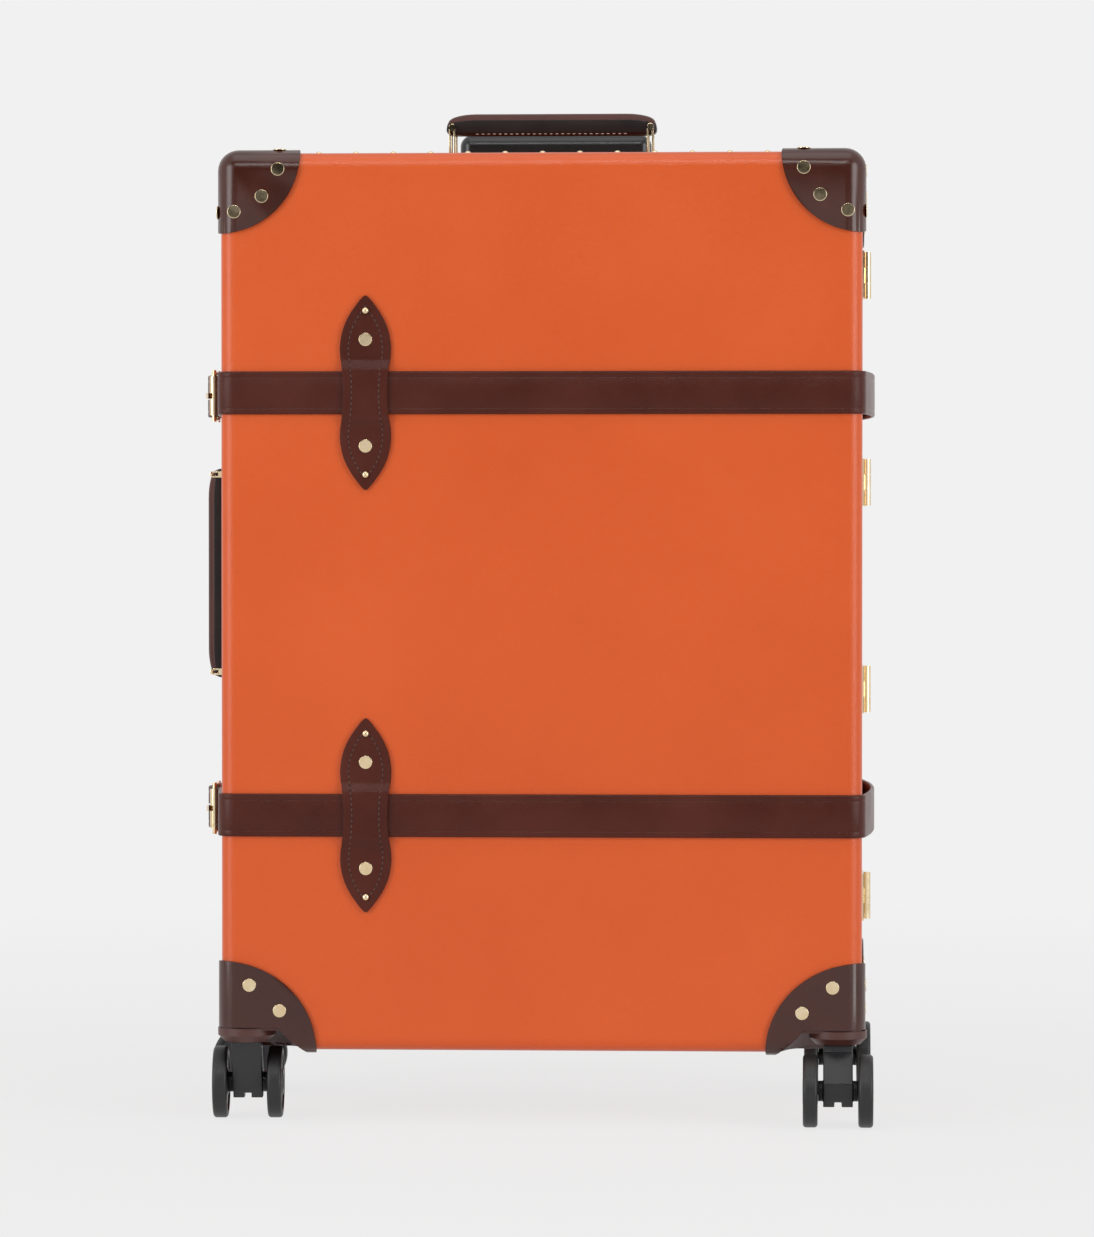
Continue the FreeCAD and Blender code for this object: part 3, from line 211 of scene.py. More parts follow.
def oiled_beech():
    material, nodes, links, shader, place = finish("rim_wood")
    stretch = nodes.new("ShaderNodeMapping")
    stretch.inputs["Scale"].default_value = (14, 160, 14)
    links.new(place, stretch.inputs["Vector"])
    figure = nodes.new("ShaderNodeTexNoise")
    figure.inputs["Scale"].default_value = 2.4
    figure.inputs["Detail"].default_value = 6
    figure.inputs["Distortion"].default_value = 0.6
    links.new(stretch.outputs["Vector"], figure.inputs["Vector"])
    tinted(
        nodes, links, shader, figure.outputs["Fac"],
        (0.30, (0.210, 0.105, 0.045)), (0.55, (0.330, 0.185, 0.085)), (0.72, (0.420, 0.255, 0.130)),
    )
    glossed(nodes, links, shader, figure.outputs["Fac"], 0.40, 0.58, 0, 1)
    raised(nodes, links, shader, figure.outputs["Fac"], 0.25, 0.3 * MM)
    return material


dress(oiled_beech(), "lid_rim", "base_rim")

# Linings
# Twill cloth pasted over the board inside both halves, and over the false back that hides the
# trolley sleeves. The weave runs on the diagonal.


def twill_lining():
    material, nodes, links, shader, place = finish("lining_twill")
    grain = grain_in(nodes, links, place, 420, 6)
    ribs = nodes.new("ShaderNodeTexWave")
    ribs.bands_direction = "DIAGONAL"
    ribs.inputs["Scale"].default_value = 210
    ribs.inputs["Distortion"].default_value = 0.4
    links.new(place, ribs.inputs["Vector"])
    mixed = nodes.new("ShaderNodeMath")
    mixed.operation = "MULTIPLY"
    links.new(ribs.outputs["Fac"], mixed.inputs[0])
    links.new(grain.outputs["Tone"], mixed.inputs[1])
    tinted(
        nodes, links, shader, mixed.outputs[0],
        (0.05, (0.205, 0.150, 0.100)), (0.35, (0.330, 0.255, 0.180)), (0.60, (0.410, 0.330, 0.240)),
    )
    glossed(nodes, links, shader, ribs.outputs["Fac"], 0.82, 0.95, 0, 1)
    shader.inputs["Sheen Weight"].default_value = 0.25
    raised(nodes, links, shader, ribs.outputs["Fac"], 0.35, 0.4 * MM)
    return material


dress(twill_lining(), "lid_lining", "base_lining")

# Corner caps
# Vegetable-tanned leather, wet-formed over each corner of the shell and riveted down. The cut edge
# is rounded over and burnished. The bottom caps are arched where the casters stand.
CASE_LOW, CASE_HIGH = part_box("lid_shell")[0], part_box("base_shell")[1]
CAP_LEATHER = 2.8 * MM
BOARD_EDGE = 11 * MM
CAP_ROUND = 16.5 * MM
TOP_REACH = 63 * MM
BOTTOM_REACH = (75 * MM, 75 * MM, 70 * MM)
CASTER_INSET = 18.5 * MM
ARCH_FOOT, ARCH_CROWN = 50.3 * MM, 34.6 * MM
ARCH_MIDDLE, ARCH_DEPTH = 7 * MM, 22 * MM


def clear():
    """Back to object mode with nothing selected."""
    if bpy.context.object and bpy.context.object.mode != "OBJECT":
        bpy.ops.object.mode_set(mode="OBJECT")
    bpy.ops.object.select_all(action="DESELECT")


def only(obj):
    """Select one object and make it the active one."""
    clear()
    obj.select_set(True)
    bpy.context.view_layer.objects.active = obj
    return obj


def settled():
    """The primitive just added, with its place, turn and scale in its mesh."""
    bpy.ops.object.transform_apply(location=True, rotation=True, scale=True)
    return bpy.context.object


def block(name, low, high):
    """A cube primitive stretched between two corners."""
    clear()
    bpy.ops.mesh.primitive_cube_add(size=1, location=(Vector(low) + Vector(high)) / 2)
    bpy.context.object.name = name
    bpy.context.object.scale = Vector(high) - Vector(low)
    return settled()


def pick(test, mode="VERT"):
    """In edit mode, select the vertices, edges or faces that pass a test on their middle."""
    bpy.ops.mesh.select_mode(type=mode)
    bpy.ops.mesh.select_all(action="DESELECT")
    mesh = bmesh.from_edit_mesh(bpy.context.object.data)
    groups = {"VERT": mesh.verts, "EDGE": mesh.edges, "FACE": mesh.faces}
    for item in groups[mode]:
        if mode == "VERT":
            spot = item.co
        elif mode == "EDGE":
            spot = (item.verts[0].co + item.verts[1].co) / 2
        else:
            spot = item.calc_center_median()
        if test(spot, item):
            item.select_set(True)
    mesh.select_flush_mode()
    bmesh.update_edit_mesh(bpy.context.object.data)


def edit(obj):
    """Into edit mode on one object."""
    only(obj)
    bpy.ops.object.mode_set(mode="EDIT")


def done():
    """Out of edit mode."""
    bpy.ops.object.mode_set(mode="OBJECT")


def round_all(obj, width, segments):
    """Bevel every edge of a plain block."""
    edit(obj)
    bpy.ops.mesh.select_mode(type="EDGE")
    bpy.ops.mesh.select_all(action="SELECT")
    bpy.ops.mesh.bevel(offset=width, segments=segments, affect="EDGES")
    done()


def modify(obj, kind, **settings):
    """Add a modifier and apply it."""
    only(obj)
    bpy.ops.object.modifier_add(type=kind)
    modifier = obj.modifiers[-1]
    for key, value in settings.items():
        setattr(modifier, key, value)
    bpy.ops.object.modifier_apply(modifier=modifier.name)
    return obj


def carve(obj, tool, operation):
    """A boolean with a tool that is thrown away."""
    modify(obj, "BOOLEAN", object=tool, operation=operation, solver="EXACT")
    bpy.data.objects.remove(tool)
    return obj


def twin(obj, name):
    """A copy with its own mesh."""
    copy = obj.copy()
    copy.data = obj.data.copy()
    copy.name = name
    bpy.context.scene.collection.objects.link(copy)
    return copy


def joined(name, pieces):
    """Several pieces made one object."""
    clear()
    for piece in pieces:
        piece.select_set(True)
    bpy.context.view_layer.objects.active = pieces[0]
    if len(pieces) > 1:
        bpy.ops.object.join()
    obj = bpy.context.view_layer.objects.active
    obj.name = name
    return obj


def smooth(obj, angle):
    """Shade smooth wherever two faces meet at less than an angle in degrees."""
    only(obj)
    bpy.ops.object.shade_smooth_by_angle(angle=math.radians(angle))
    return obj


def soften(obj, width, angle, segments=2):
    """Round the sharp edges of a finished mesh and shade it smooth."""
    modify(
        obj, "BEVEL", width=width, segments=segments,
        limit_method="ANGLE", angle_limit=math.radians(angle),
    )
    return smooth(obj, 40)


def hand_over(obj, body, material, slot, *nodes):
    """Dress a finished piece, let it ride on its body and stand for its CAD nodes."""
    obj.data.materials.clear()
    obj.data.materials.append(material)
    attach(obj, body)
    if nodes:
        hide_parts(*nodes)
    return obj


corner_leather = grained(
    "cap_leather", pebbles=1500, drift=26, rough=(0.15, 0.24), shine=0.5, relief=0.10,
    stops=(
        (0.28, (0.042, 0.0078, 0.0034)), (0.52, (0.055, 0.0108, 0.0050)), (0.74, (0.070, 0.0150, 0.0078)),
    ),
)


def corner_cap(name, side_x, side_y, up):
    """One cap: the layer of leather over the shell, inside a ball about its corner."""
    layer = Vector((CAP_LEATHER,) * 3)
    cap = block(name, CASE_LOW - layer, CASE_HIGH + layer)
    round_all(cap, CAP_ROUND, 8)
    shell = block("cap_inside", CASE_LOW, CASE_HIGH)
    round_all(shell, BOARD_EDGE, 6)
    carve(cap, shell, "DIFFERENCE")
    corner = Vector((
        CASE_HIGH.x * side_x, CASE_HIGH.y * side_y, CASE_HIGH.z if up else CASE_LOW.z,
    ))
    clear()
    bpy.ops.mesh.primitive_uv_sphere_add(segments=128, ring_count=64, radius=1, location=corner)
    bpy.context.object.scale = (TOP_REACH,) * 3 if up else BOTTOM_REACH
    carve(cap, settled(), "INTERSECT")
    if not up:
        swivel = (
            side_x * (CASE_HIGH.x - CASTER_INSET), side_y * (CASE_HIGH.y - CASTER_INSET),
            CASE_LOW.z + ARCH_MIDDLE,
        )
        clear()
        bpy.ops.mesh.primitive_cone_add(
            vertices=96, radius1=ARCH_FOOT, radius2=ARCH_CROWN, depth=ARCH_DEPTH, location=swivel,
        )
        carve(cap, settled(), "DIFFERENCE")
    return soften(cap, 0.9 * MM, 48, 3)


for half, side_y in (("lid", -1), ("base", 1)):
    caps = []
    for side_x in (-1, 1):
        for up in (True, False):
            caps.append(corner_cap(f"{half}_cap", side_x, side_y, up))
    formed = joined(f"{half}_caps_formed", caps)
    hand_over(formed, half, corner_leather, "corner_leather", f"{half}_corner_caps")

# Rivets, nails and studs
# Turned brass heads: flat ones with a rolled edge hold the leather, small domed nails finish the
# keepers, and a row of domed studs runs along the top of the lid. All are polished.
RIVET_HEAD = (5.2 * MM, 0.65 * MM)
NAIL_HEAD = (3 * MM, 3 * MM)


def speckle(nodes, links, place, scale, detail=2):
    """A noise over a place, of a given fineness."""
    noise = nodes.new("ShaderNodeTexNoise")
    noise.inputs["Scale"].default_value = scale
    noise.inputs["Detail"].default_value = detail
    links.new(place, noise.inputs["Vector"])
    return noise.outputs["Fac"]


def polished_brass():
    material, nodes, links, shader, place = finish("polished_brass")
    rub = speckle(nodes, links, place, 130, 5)
    tinted(
        nodes, links, shader, rub,
        (0.30, (0.745, 0.575, 0.345)), (0.55, (0.800, 0.640, 0.410)), (0.75, (0.840, 0.700, 0.480)),
    )
    glossed(nodes, links, shader, rub, 0.08, 0.17)
    shader.inputs["Metallic"].default_value = 1
    raised(nodes, links, shader, rub, 0.06, 0.2 * MM)
    return material


brass = polished_brass()


def heads_of(node):
    """Foot, outward direction, and whether it is domed, of every head in a CAD node."""
    mesh = bmesh.new()
    mesh.from_mesh(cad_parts[node].data)
    bmesh.ops.remove_doubles(mesh, verts=mesh.verts, dist=1e-6)
    seen, found = set(), []
    for start in mesh.verts:
        if start in seen:
            continue
        seen.add(start)
        queue, island = [start], []
        while queue:
            vert = queue.pop()
            island.append(vert.co.copy())
            for edge in vert.link_edges:
                other = edge.other_vert(vert)
                if other not in seen:
                    seen.add(other)
                    queue.append(other)
        low = Vector([min(co[i] for co in island) for i in range(3)])
        high = Vector([max(co[i] for co in island) for i in range(3)])
        size = high - low
        thin = min(range(3), key=lambda i: size[i])
        sign = 1 if thin == 2 or (low + high)[thin] > 0 else -1
        foot = (low + high) / 2
        foot[thin] = low[thin] if sign > 0 else high[thin]
        outward = Vector((0, 0, 0))
        outward[thin] = sign
        found.append((foot, outward, size[thin] > 2 * MM))
    mesh.free()
    return found


def rivet_head():
    """A flat head: a short cylinder with a rolled edge."""
    radius, height = RIVET_HEAD
    clear()
    bpy.ops.mesh.primitive_cylinder_add(
        vertices=48, radius=radius, depth=height, location=(0, 0, height / 2),
    )
    head = settled()
    edit(head)
    pick(lambda spot, item: spot.z > 0.9 * height and abs(spot.xy.length - radius) < 0.1 * MM, "EDGE")
    bpy.ops.mesh.bevel(offset=0.4 * MM, segments=4, affect="EDGES")
    pick(lambda spot, item: spot.z > 0.99 * height and item.normal.z > 0.99, "FACE")
    bpy.ops.mesh.inset(thickness=0.2 * MM)
    done()
    return smooth(head, 50)


def dome_head(radius, height):
    """A domed head: the upper half of a ball with a narrow rim."""
    clear()
    bpy.ops.mesh.primitive_uv_sphere_add(segments=32, ring_count=16, radius=radius)
    head = bpy.context.object
    edit(head)
    bpy.ops.mesh.select_all(action="SELECT")
    bpy.ops.mesh.bisect(plane_co=(0, 0, 0), plane_no=(0, 0, 1), clear_inner=True, use_fill=True)
    pick(lambda spot, item: spot.z < 1e-6 and item.normal.z < -0.9, "FACE")
    bpy.ops.mesh.extrude_region_move(TRANSFORM_OT_translate={"value": (0, 0, 0)})
    bpy.ops.transform.resize(value=(1.06, 1.06, 1))
    bpy.ops.mesh.select_all(action="SELECT")
    bpy.ops.transform.resize(value=(1, 1, height / radius), center_override=(0, 0, 0))
    bpy.ops.mesh.normals_make_consistent(inside=False)
    done()
    return smooth(head, 50)


flat_head = rivet_head()
nail_head = dome_head(*NAIL_HEAD)
for node, body in (("lid_rivets", "lid"), ("base_rivets", "base"), ("top_studs", "lid")):
    set_heads = []
    for foot, outward, domed in heads_of(node):
        head = twin(nail_head if domed else flat_head, f"{node}_head")
        tilt = Vector((0, 0, 1)).rotation_difference(outward).to_matrix().to_4x4()
        head.data.transform(Matrix.Translation(foot) @ tilt)
        set_heads.append(head)
    hand_over(joined(f"{node}_turned", set_heads), body, brass, "brass", node)
bpy.data.objects.remove(flat_head)
bpy.data.objects.remove(nail_head)

# Straps
# Two belts of bridle leather round the case, 33 mm wide and 3 mm thick, with edges rounded and a
# crease ironed in along each side. Each belt goes under a keeper at front and back, stands off in a
# loose bow over the hinges, and closes at the left with a tongue through a roller buckle.
STRAP_LEVEL = {
    level: sum(corner.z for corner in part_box(f"{level}_strap_front")) / 2 for level in ("upper", "lower")
}
STRAP_WIDTH, STRAP_THICK = 33.4 * MM, 3 * MM
STRAP_CREASE = 4.7 * MM
HEEL_BAR = (-265.4 * MM, -10 * MM)
HEEL_LOOP = 4.75 * MM
PRONG_SLIT = 5.2 * MM
SLIT_OUTSIDE, SLIT_INSIDE = -285 * MM, -257.5 * MM
TONGUE_SLIT, BACK_SLIT = (-30.8 * MM, -3.6 * MM), (-15.2 * MM, -5.25 * MM)
TONGUE_END, TONGUE_CORNER = 85 * MM, 14 * MM

strap_leather = grained(
    "bridle_leather", pebbles=1250, drift=18, rough=(0.27, 0.37), shine=0.24, relief=0.34,
    stops=(
        (0.28, (0.063, 0.0092, 0.0036)), (0.52, (0.077, 0.0121, 0.0052)), (0.74, (0.092, 0.0165, 0.0078)),
    ),
)


def flat_line(name, points, closed):
    """A flat curve through given points."""
    curve = bpy.data.curves.new(name, "CURVE")
    curve.dimensions = "2D"
    spline = curve.splines.new("POLY")
    spline.points.add(len(points) - 1)
    for knot, (x, y) in zip(spline.points, points):
        knot.co = (x, y, 0, 1)
    spline.use_cyclic_u = closed
    obj = bpy.data.objects.new(name, curve)
    bpy.context.scene.collection.objects.link(obj)
    return obj


def belt_section():
    """The strap cut across: flat underside, rounded edges, two creases in the upper side."""
    half, crease = STRAP_WIDTH / 2, STRAP_WIDTH / 2 - STRAP_CREASE
    top = STRAP_THICK
    side = [
        (0.35 * MM, half), (top - 1.1 * MM, half), (top - 0.5 * MM, half - 0.2 * MM),
        (top - 0.15 * MM, half - 0.65 * MM), (top, half - 1.3 * MM), (top, crease + 0.95 * MM),
        (top - 0.13 * MM, crease + 0.5 * MM), (top - 0.32 * MM, crease),
        (top - 0.13 * MM, crease - 0.5 * MM), (top, crease - 0.95 * MM),
    ]
    lower = [(x, -y) for x, y in reversed(side)]
    outline = [(0, half - 0.35 * MM), *side, *lower, (0, 0.35 * MM - half)]
    return flat_line("belt_section", outline, True)


section = belt_section()


def turn(centre, radius, start, stop, steps):
    """Points on an arc, from one angle to another in degrees."""
    angles = [math.radians(start + (stop - start) * i / steps) for i in range(steps + 1)]
    return [(centre[0] + radius * math.cos(a), centre[1] + radius * math.sin(a)) for a in angles]


def eased(points, cut, steps=6):
    """A line with its corners taken off in smooth curves."""
    line = [points[0]]
    for before, corner, after in zip(points, points[1:], points[2:]):
        a, b, c = Vector(before), Vector(corner), Vector(after)
        reach = min(cut, (a - b).length * 0.45, (c - b).length * 0.45)
        enter, leave = b + (a - b).normalized() * reach, b + (c - b).normalized() * reach
        for i in range(steps + 1):
            t = i / steps
            line.append(tuple((1 - t) ** 2 * enter + 2 * t * (1 - t) * b + t * t * leave))
    return line + [points[-1]]


def belt(name, level, line):
    """A length of strap: the section swept along the line of its underside."""
    path = flat_line(name, line, False)
    path.data.bevel_mode = "OBJECT"
    path.data.bevel_object = section
    path.data.use_fill_caps = True
    only(path)
    bpy.ops.object.convert(target="MESH")
    strap = bpy.context.object
    edit(strap)
    bpy.ops.mesh.select_all(action="SELECT")
    bpy.ops.mesh.remove_doubles(threshold=1e-6)
    bpy.ops.mesh.normals_make_consistent(inside=False)
    bpy.ops.transform.translate(value=(0, 0, STRAP_LEVEL[level]))
    done()
    return strap


def slit(strap, level, low, high):
    """The hole for the buckle prong."""
    z = STRAP_LEVEL[level]
    tool = block(
        "slit", (SLIT_OUTSIDE, low, z - PRONG_SLIT / 2), (SLIT_INSIDE, high, z + PRONG_SLIT / 2),
    )
    return carve(strap, tool, "DIFFERENCE")


def left_of(out, y):
    """A place beside the left wall, in millimetres out from it and along it."""
    return (CASE_LOW.x - out * MM, y * MM)


front, back = CASE_LOW.y, CASE_HIGH.y
left, right = CASE_LOW.x, CASE_HIGH.x
bend = BOARD_EDGE
front_line = [
    *turn((left + bend, front + bend), bend, 180, 270, 8),
    *turn((right - bend, front + bend), bend, 270, 360, 8),
]
back_line = [
    *turn((right - bend, back - bend), bend, 0, 90, 8),
    *turn((left + bend, back - bend), bend, 90, 180, 8)[:-1],
    *eased([left_of(0, 119), left_of(10.65, 40), left_of(10.65, -10)], 25),
    *turn(HEEL_BAR, HEEL_LOOP, 360, 180, 16)[1:],
    *eased([left_of(20.15, -5.25), left_of(16.65, 20), left_of(16.65, 40)], 12),
]
tongue_line = eased([
    left_of(13.65, 85), left_of(16.95, 40), left_of(16.95, 20), left_of(20.45, -5.25),
    left_of(20.45, -14.75), left_of(8.5, -35), left_of(8.5, -45.2), left_of(0, -119),
], 4)
BOW_RISE = 7.5 * MM
bow_half = back - bend
bow_radius = (bow_half ** 2 + BOW_RISE ** 2) / (2 * BOW_RISE)
bow_swing = math.degrees(math.asin(bow_half / bow_radius))
bow_line = turn((right + BOW_RISE - bow_radius, 0), bow_radius, -bow_swing, bow_swing, 110)

for level in ("upper", "lower"):
    z = STRAP_LEVEL[level]
    run = smooth(belt(f"{level}_front_belt", level, front_line), 50)
    hand_over(run, "lid", strap_leather, "strap_leather", f"{level}_strap_front")

    tongue = slit(belt(f"{level}_tongue_belt", level, tongue_line), level, *TONGUE_SLIT)
    reach = STRAP_WIDTH / 2 + 0.1 * MM
    tip = block("tip", (-290 * MM, -130 * MM, z - reach), (-240 * MM, TONGUE_END, z + reach))
    edit(tip)
    pick(lambda spot, item: spot.y > TONGUE_END - MM and abs(spot.z - z) > 0.4 * STRAP_WIDTH, "EDGE")
    bpy.ops.mesh.bevel(offset=TONGUE_CORNER, segments=8, affect="EDGES")
    done()
    smooth(carve(tongue, tip, "INTERSECT"), 50)
    hand_over(tongue, "lid", strap_leather, "strap_leather", f"{level}_strap_tongue")

    run = smooth(slit(belt(f"{level}_back_belt", level, back_line), level, *BACK_SLIT), 50)
    hand_over(run, "base", strap_leather, "strap_leather", f"{level}_strap_back")

    bow = smooth(belt(f"{level}_bow_belt", level, bow_line), 50)
    bow.data.materials.append(strap_leather)
    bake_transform(bow)
    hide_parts(f"{level}_strap_bow")
bpy.data.objects.remove(section)

# Strap keepers
# Pointed leather plaques, waisted over the strap, two on the front and two on the back. Each is
# moulded over the strap, saddle-stitched round its edge and held by two rivets and two nails.
KEEPER_X = -136 * MM
KEEPER_HALF = 75.5 * MM
KEEPER_THICK = 2.5 * MM
KEEPER_OUTLINE = (
    (0, 0.9), (1.5, 2.4), (4, 4.7), (7, 7), (12.8, 11.2), (18.6, 14.5), (24.4, 17), (30, 18.6),
    (36, 19.6), (40.7, 20), (47.7, 19.7), (59, 18), (68, 17.3), (75.5, 17.1),
)
KEEPER_SLOPE = 9 * MM
STITCH_INSET, STITCH_PITCH = 6.6 * MM, 4.3 * MM
# The second size is that of the dark dimple painted as the shade in each awl hole.
STITCH, AWL_HOLE_SHADE = (1.35 * MM, 0.42 * MM, 0.42 * MM), (0.8 * MM, 0.62 * MM, 0.12 * MM)


def keeper_half_width(height):
    """Half the width of the plaque at a height over its middle, from its widths down from the tip."""
    down = (KEEPER_HALF - abs(height)) / MM
    for (d0, w0), (d1, w1) in zip(KEEPER_OUTLINE, KEEPER_OUTLINE[1:]):
        if down <= d1 + 1e-6:
            return (w0 + (w1 - w0) * (down - d0) / (d1 - d0)) * MM
    return KEEPER_OUTLINE[-1][1] * MM


def keeper_rise(height):
    """How far the plaque stands off the shell where it passes over the strap."""
    t = (abs(height) - STRAP_WIDTH / 2 - 0.3 * MM) / KEEPER_SLOPE
    t = min(max(1 - t, 0), 1)
    return (STRAP_THICK + 0.15 * MM) * t * t * (3 - 2 * t)


def sewing_thread(name, dark, light, rough):
    """Twisted linen thread."""
    material, nodes, links, shader, place = finish(name)
    twist = nodes.new("ShaderNodeTexWave")
    twist.inputs["Scale"].default_value = 900
    twist.inputs["Distortion"].default_value = 3
    links.new(place, twist.inputs["Vector"])
    tinted(nodes, links, shader, twist.outputs["Fac"], (0.2, dark), (0.8, light))
    shader.inputs["Roughness"].default_value = rough
    raised(nodes, links, shader, twist.outputs["Fac"], 0.3, 0.2 * MM)
    return material


thread = sewing_thread("linen_thread", (0.090, 0.036, 0.024), (0.145, 0.066, 0.047), 0.7)


# The dark of each awl hole is painted shade: a flat dark dimple on the face of the leather, not a hollow.
def awl_hole_painted_shade():
    material, nodes, links, shader, place = finish("awl_hole_painted_shade")
    fray = speckle(nodes, links, place, 2500)
    tinted(nodes, links, shader, fray, (0.3, (0.010, 0.004, 0.003)), (0.7, (0.026, 0.009, 0.006)))
    shader.inputs["Roughness"].default_value = 0.9
    return material


painted_hole_shade = awl_hole_painted_shade()


def keeper_plaque():
    """A grid whose rows are drawn to the outline and pushed out over the strap."""
    clear()
    rows = 120
    bpy.ops.mesh.primitive_grid_add(x_subdivisions=14, y_subdivisions=rows, size=1)
    plaque = bpy.context.object
    plaque.rotation_euler.x = math.pi / 2
    plaque.scale = (2 * MM, 2 * KEEPER_HALF, 1)
    edit(settled())
    bpy.ops.mesh.select_mode(type="VERT")
    for i in range(rows + 1):
        height = KEEPER_HALF * (2 * i / rows - 1)
        pick(lambda spot, item: abs(spot.z - height) < 0.3 * MM)
        widen = (keeper_half_width(height) / MM, 1, 1)
        bpy.ops.transform.resize(value=widen, center_override=(0, 0, height))
        bpy.ops.transform.translate(value=(0, -keeper_rise(height), 0))
    bpy.ops.mesh.select_all(action="SELECT")
    bpy.ops.mesh.normals_make_consistent(inside=False)
    done()
    if plaque.data.polygons[0].normal.y > 0:
        plaque.data.flip_normals()
    modify(plaque, "SOLIDIFY", thickness=KEEPER_THICK, offset=1)
    return soften(plaque, 0.8 * MM, 50, 3)


def along(points, pitch):
    """Even places on a closed line, each with its direction."""
    spots, left_over = [], 0
    for a, b in zip(points, points[1:] + points[:1]):
        step, place = (b - a).length, left_over
        while place < step:
            spots.append((a + (b - a) * (place / step), (b - a).normalized()))
            place += pitch
        left_over = place - step
    return spots


def drawn_ball(size):
    """A small ball drawn out along X: one stitch, and also the dark dimple that is painted shade in one
    awl hole.
    """
    clear()
    bpy.ops.mesh.primitive_uv_sphere_add(segments=10, ring_count=6, radius=1)
    ball = bpy.context.object
    edit(ball)
    bpy.ops.mesh.select_all(action="SELECT")
    bpy.ops.transform.resize(value=size)
    done()
    only(ball)
    bpy.ops.object.shade_smooth()
    return ball


def sewn(name, spots, outward):
    """A seam: stitches along given places and, between each two of them, a dark dimple as painted shade in
    the awl hole.
    """
    stitch, hole = drawn_ball(STITCH), drawn_ball(AWL_HOLE_SHADE)
    threads, hole_shades = [], []
    for spot, way in spots:
        across = outward.cross(way).normalized()
        axes = Matrix((way, across, outward)).transposed().to_4x4()
        half_step = way * STITCH_PITCH / 2
        piece = twin(stitch, f"{name}_thread")
        piece.data.transform(Matrix.Translation(spot) @ axes)
        threads.append(piece)
        piece = twin(hole, f"{name}_hole")
        piece.data.transform(Matrix.Translation(spot + half_step) @ axes)
        hole_shades.append(piece)
    bpy.data.objects.remove(stitch)
    bpy.data.objects.remove(hole)
    return joined(f"{name}_threads", threads), joined(f"{name}_holes", hole_shades)


def keeper_seam():
    """The line of the seam, an even step inside the outline, on the face of the plaque."""
    heights = [KEEPER_HALF * math.cos(math.pi * i / 240) for i in range(241)]
    edge = [Vector((keeper_half_width(z), 0, z)) for z in heights]
    inside = []
    for a, b in zip(edge, edge[1:]):
        way = (b - a).normalized()
        spot = (a + b) / 2 + Vector((way.z, 0, -way.x)) * STITCH_INSET
        if spot.x > 0:
            inside.append(spot)
    ring = inside + [Vector((-spot.x, 0, spot.z)) for spot in reversed(inside)]
    seam = along(ring, STITCH_PITCH)
    for spot, way in seam:
        spot.y = -keeper_rise(spot.z) - KEEPER_THICK
    return seam


plaque = keeper_plaque()
threads, hole_shades = sewn("keeper_seam", keeper_seam(), Vector((0, -1, 0)))
for half, side_y in (("lid", -1), ("base", 1)):
    plaques, seams, hole_shade_sets = [], [], []
    for level in ("upper", "lower"):
        spot = Vector((KEEPER_X, side_y * CASE_HIGH.y, STRAP_LEVEL[level]))
        turn_round = Matrix.Rotation(0 if side_y < 0 else math.pi, 4, "Z")
        for source, group in ((plaque, plaques), (threads, seams), (hole_shades, hole_shade_sets)):
            copy = twin(source, source.name)
            copy.data.transform(Matrix.Translation(spot) @ turn_round)
            group.append(copy)
    moulded_pair = joined(f"{half}_plaques", plaques)
    hand_over(moulded_pair, half, strap_leather, "strap_leather", f"{half}_keepers")
    hand_over(joined(f"{half}_keeper_thread", seams), half, thread, "strap_leather")
    # The dark dimples are painted shade standing in for the awl holes.
    hand_over(joined(f"{half}_keeper_holes", hole_shade_sets), half, painted_hole_shade, "strap_leather")
for source in (plaque, threads, hole_shades):
    bpy.data.objects.remove(source)

# Buckles, hinges and locks
# Cast and pressed brass: two roller buckles, four butt hinges on the right and two slide locks on the
# left. The hinges and locks are riveted through the shell into the rim frame.
dress(
    brass, "upper_buckle_frame", "lower_buckle_frame", "upper_buckle_prong", "lower_buckle_prong",
    "upper_buckle_roller", "lower_buckle_roller", "lid_hinge_leaves", "base_hinge_leaves", "hinge_pins",
    "lock_cases", "lock_hasps", "upper_lock_slider", "lower_lock_slider",
)

# Carrying handles
# A cored leather grip on top and one on the left side, with a raised strip along the top, sewn along
# the lower edge. Faces that point up get a lighter leather as painted light and the sides a darker one
# as painted shade. Each hangs on two pins in slotted brass uprights.
GRIP_LENGTH, GRIP_DEPTH, GRIP_THICK = 170 * MM, 20 * MM, 17 * MM
GRIP_SHOULDER, GRIP_DROP = 24 * MM, 7.7 * MM
GRIP_NOSE, NOSE_LIFT, NOSE_DROP, NOSE_TAPER = 6 * MM, 3.6 * MM, 3 * MM, 0.35
GRIP_CUTS = (0.6, 1.4, 2.4, 3.6, 5, 7, 9.5, 12.5, 16, 20, 24, 34, 48, 64)
POST_SPACING = 160 * MM
POST_INSIDE, POST_THICK, POST_WIDTH = 10.15 * MM, 2.5 * MM, 5.2 * MM
FOOT_HALF, FOOT_THICK = 9 * MM, 2 * MM
SLOT_HALF, SLOT_FOOT = 1.25 * MM, 9 * MM
HANDLE_BACK, SIDE_HANDLE_HEIGHT = 42 * MM, 371 * MM
GRIP_STITCHES, GRIP_STITCH_PITCH, GRIP_STITCH_INSET = 27, 4.6 * MM, 0.75 * MM


def grip_cover(name, dark, light, rough):
    """Leather of the grip in a given tone: lighter on top as painted light, darker on the sides as painted
    shade.
    """
    return grained(
        name, pebbles=1700, drift=24, stops=((0.3, dark), (0.7, light)),
        rough=rough, shine=0.3, relief=0.09,
    )


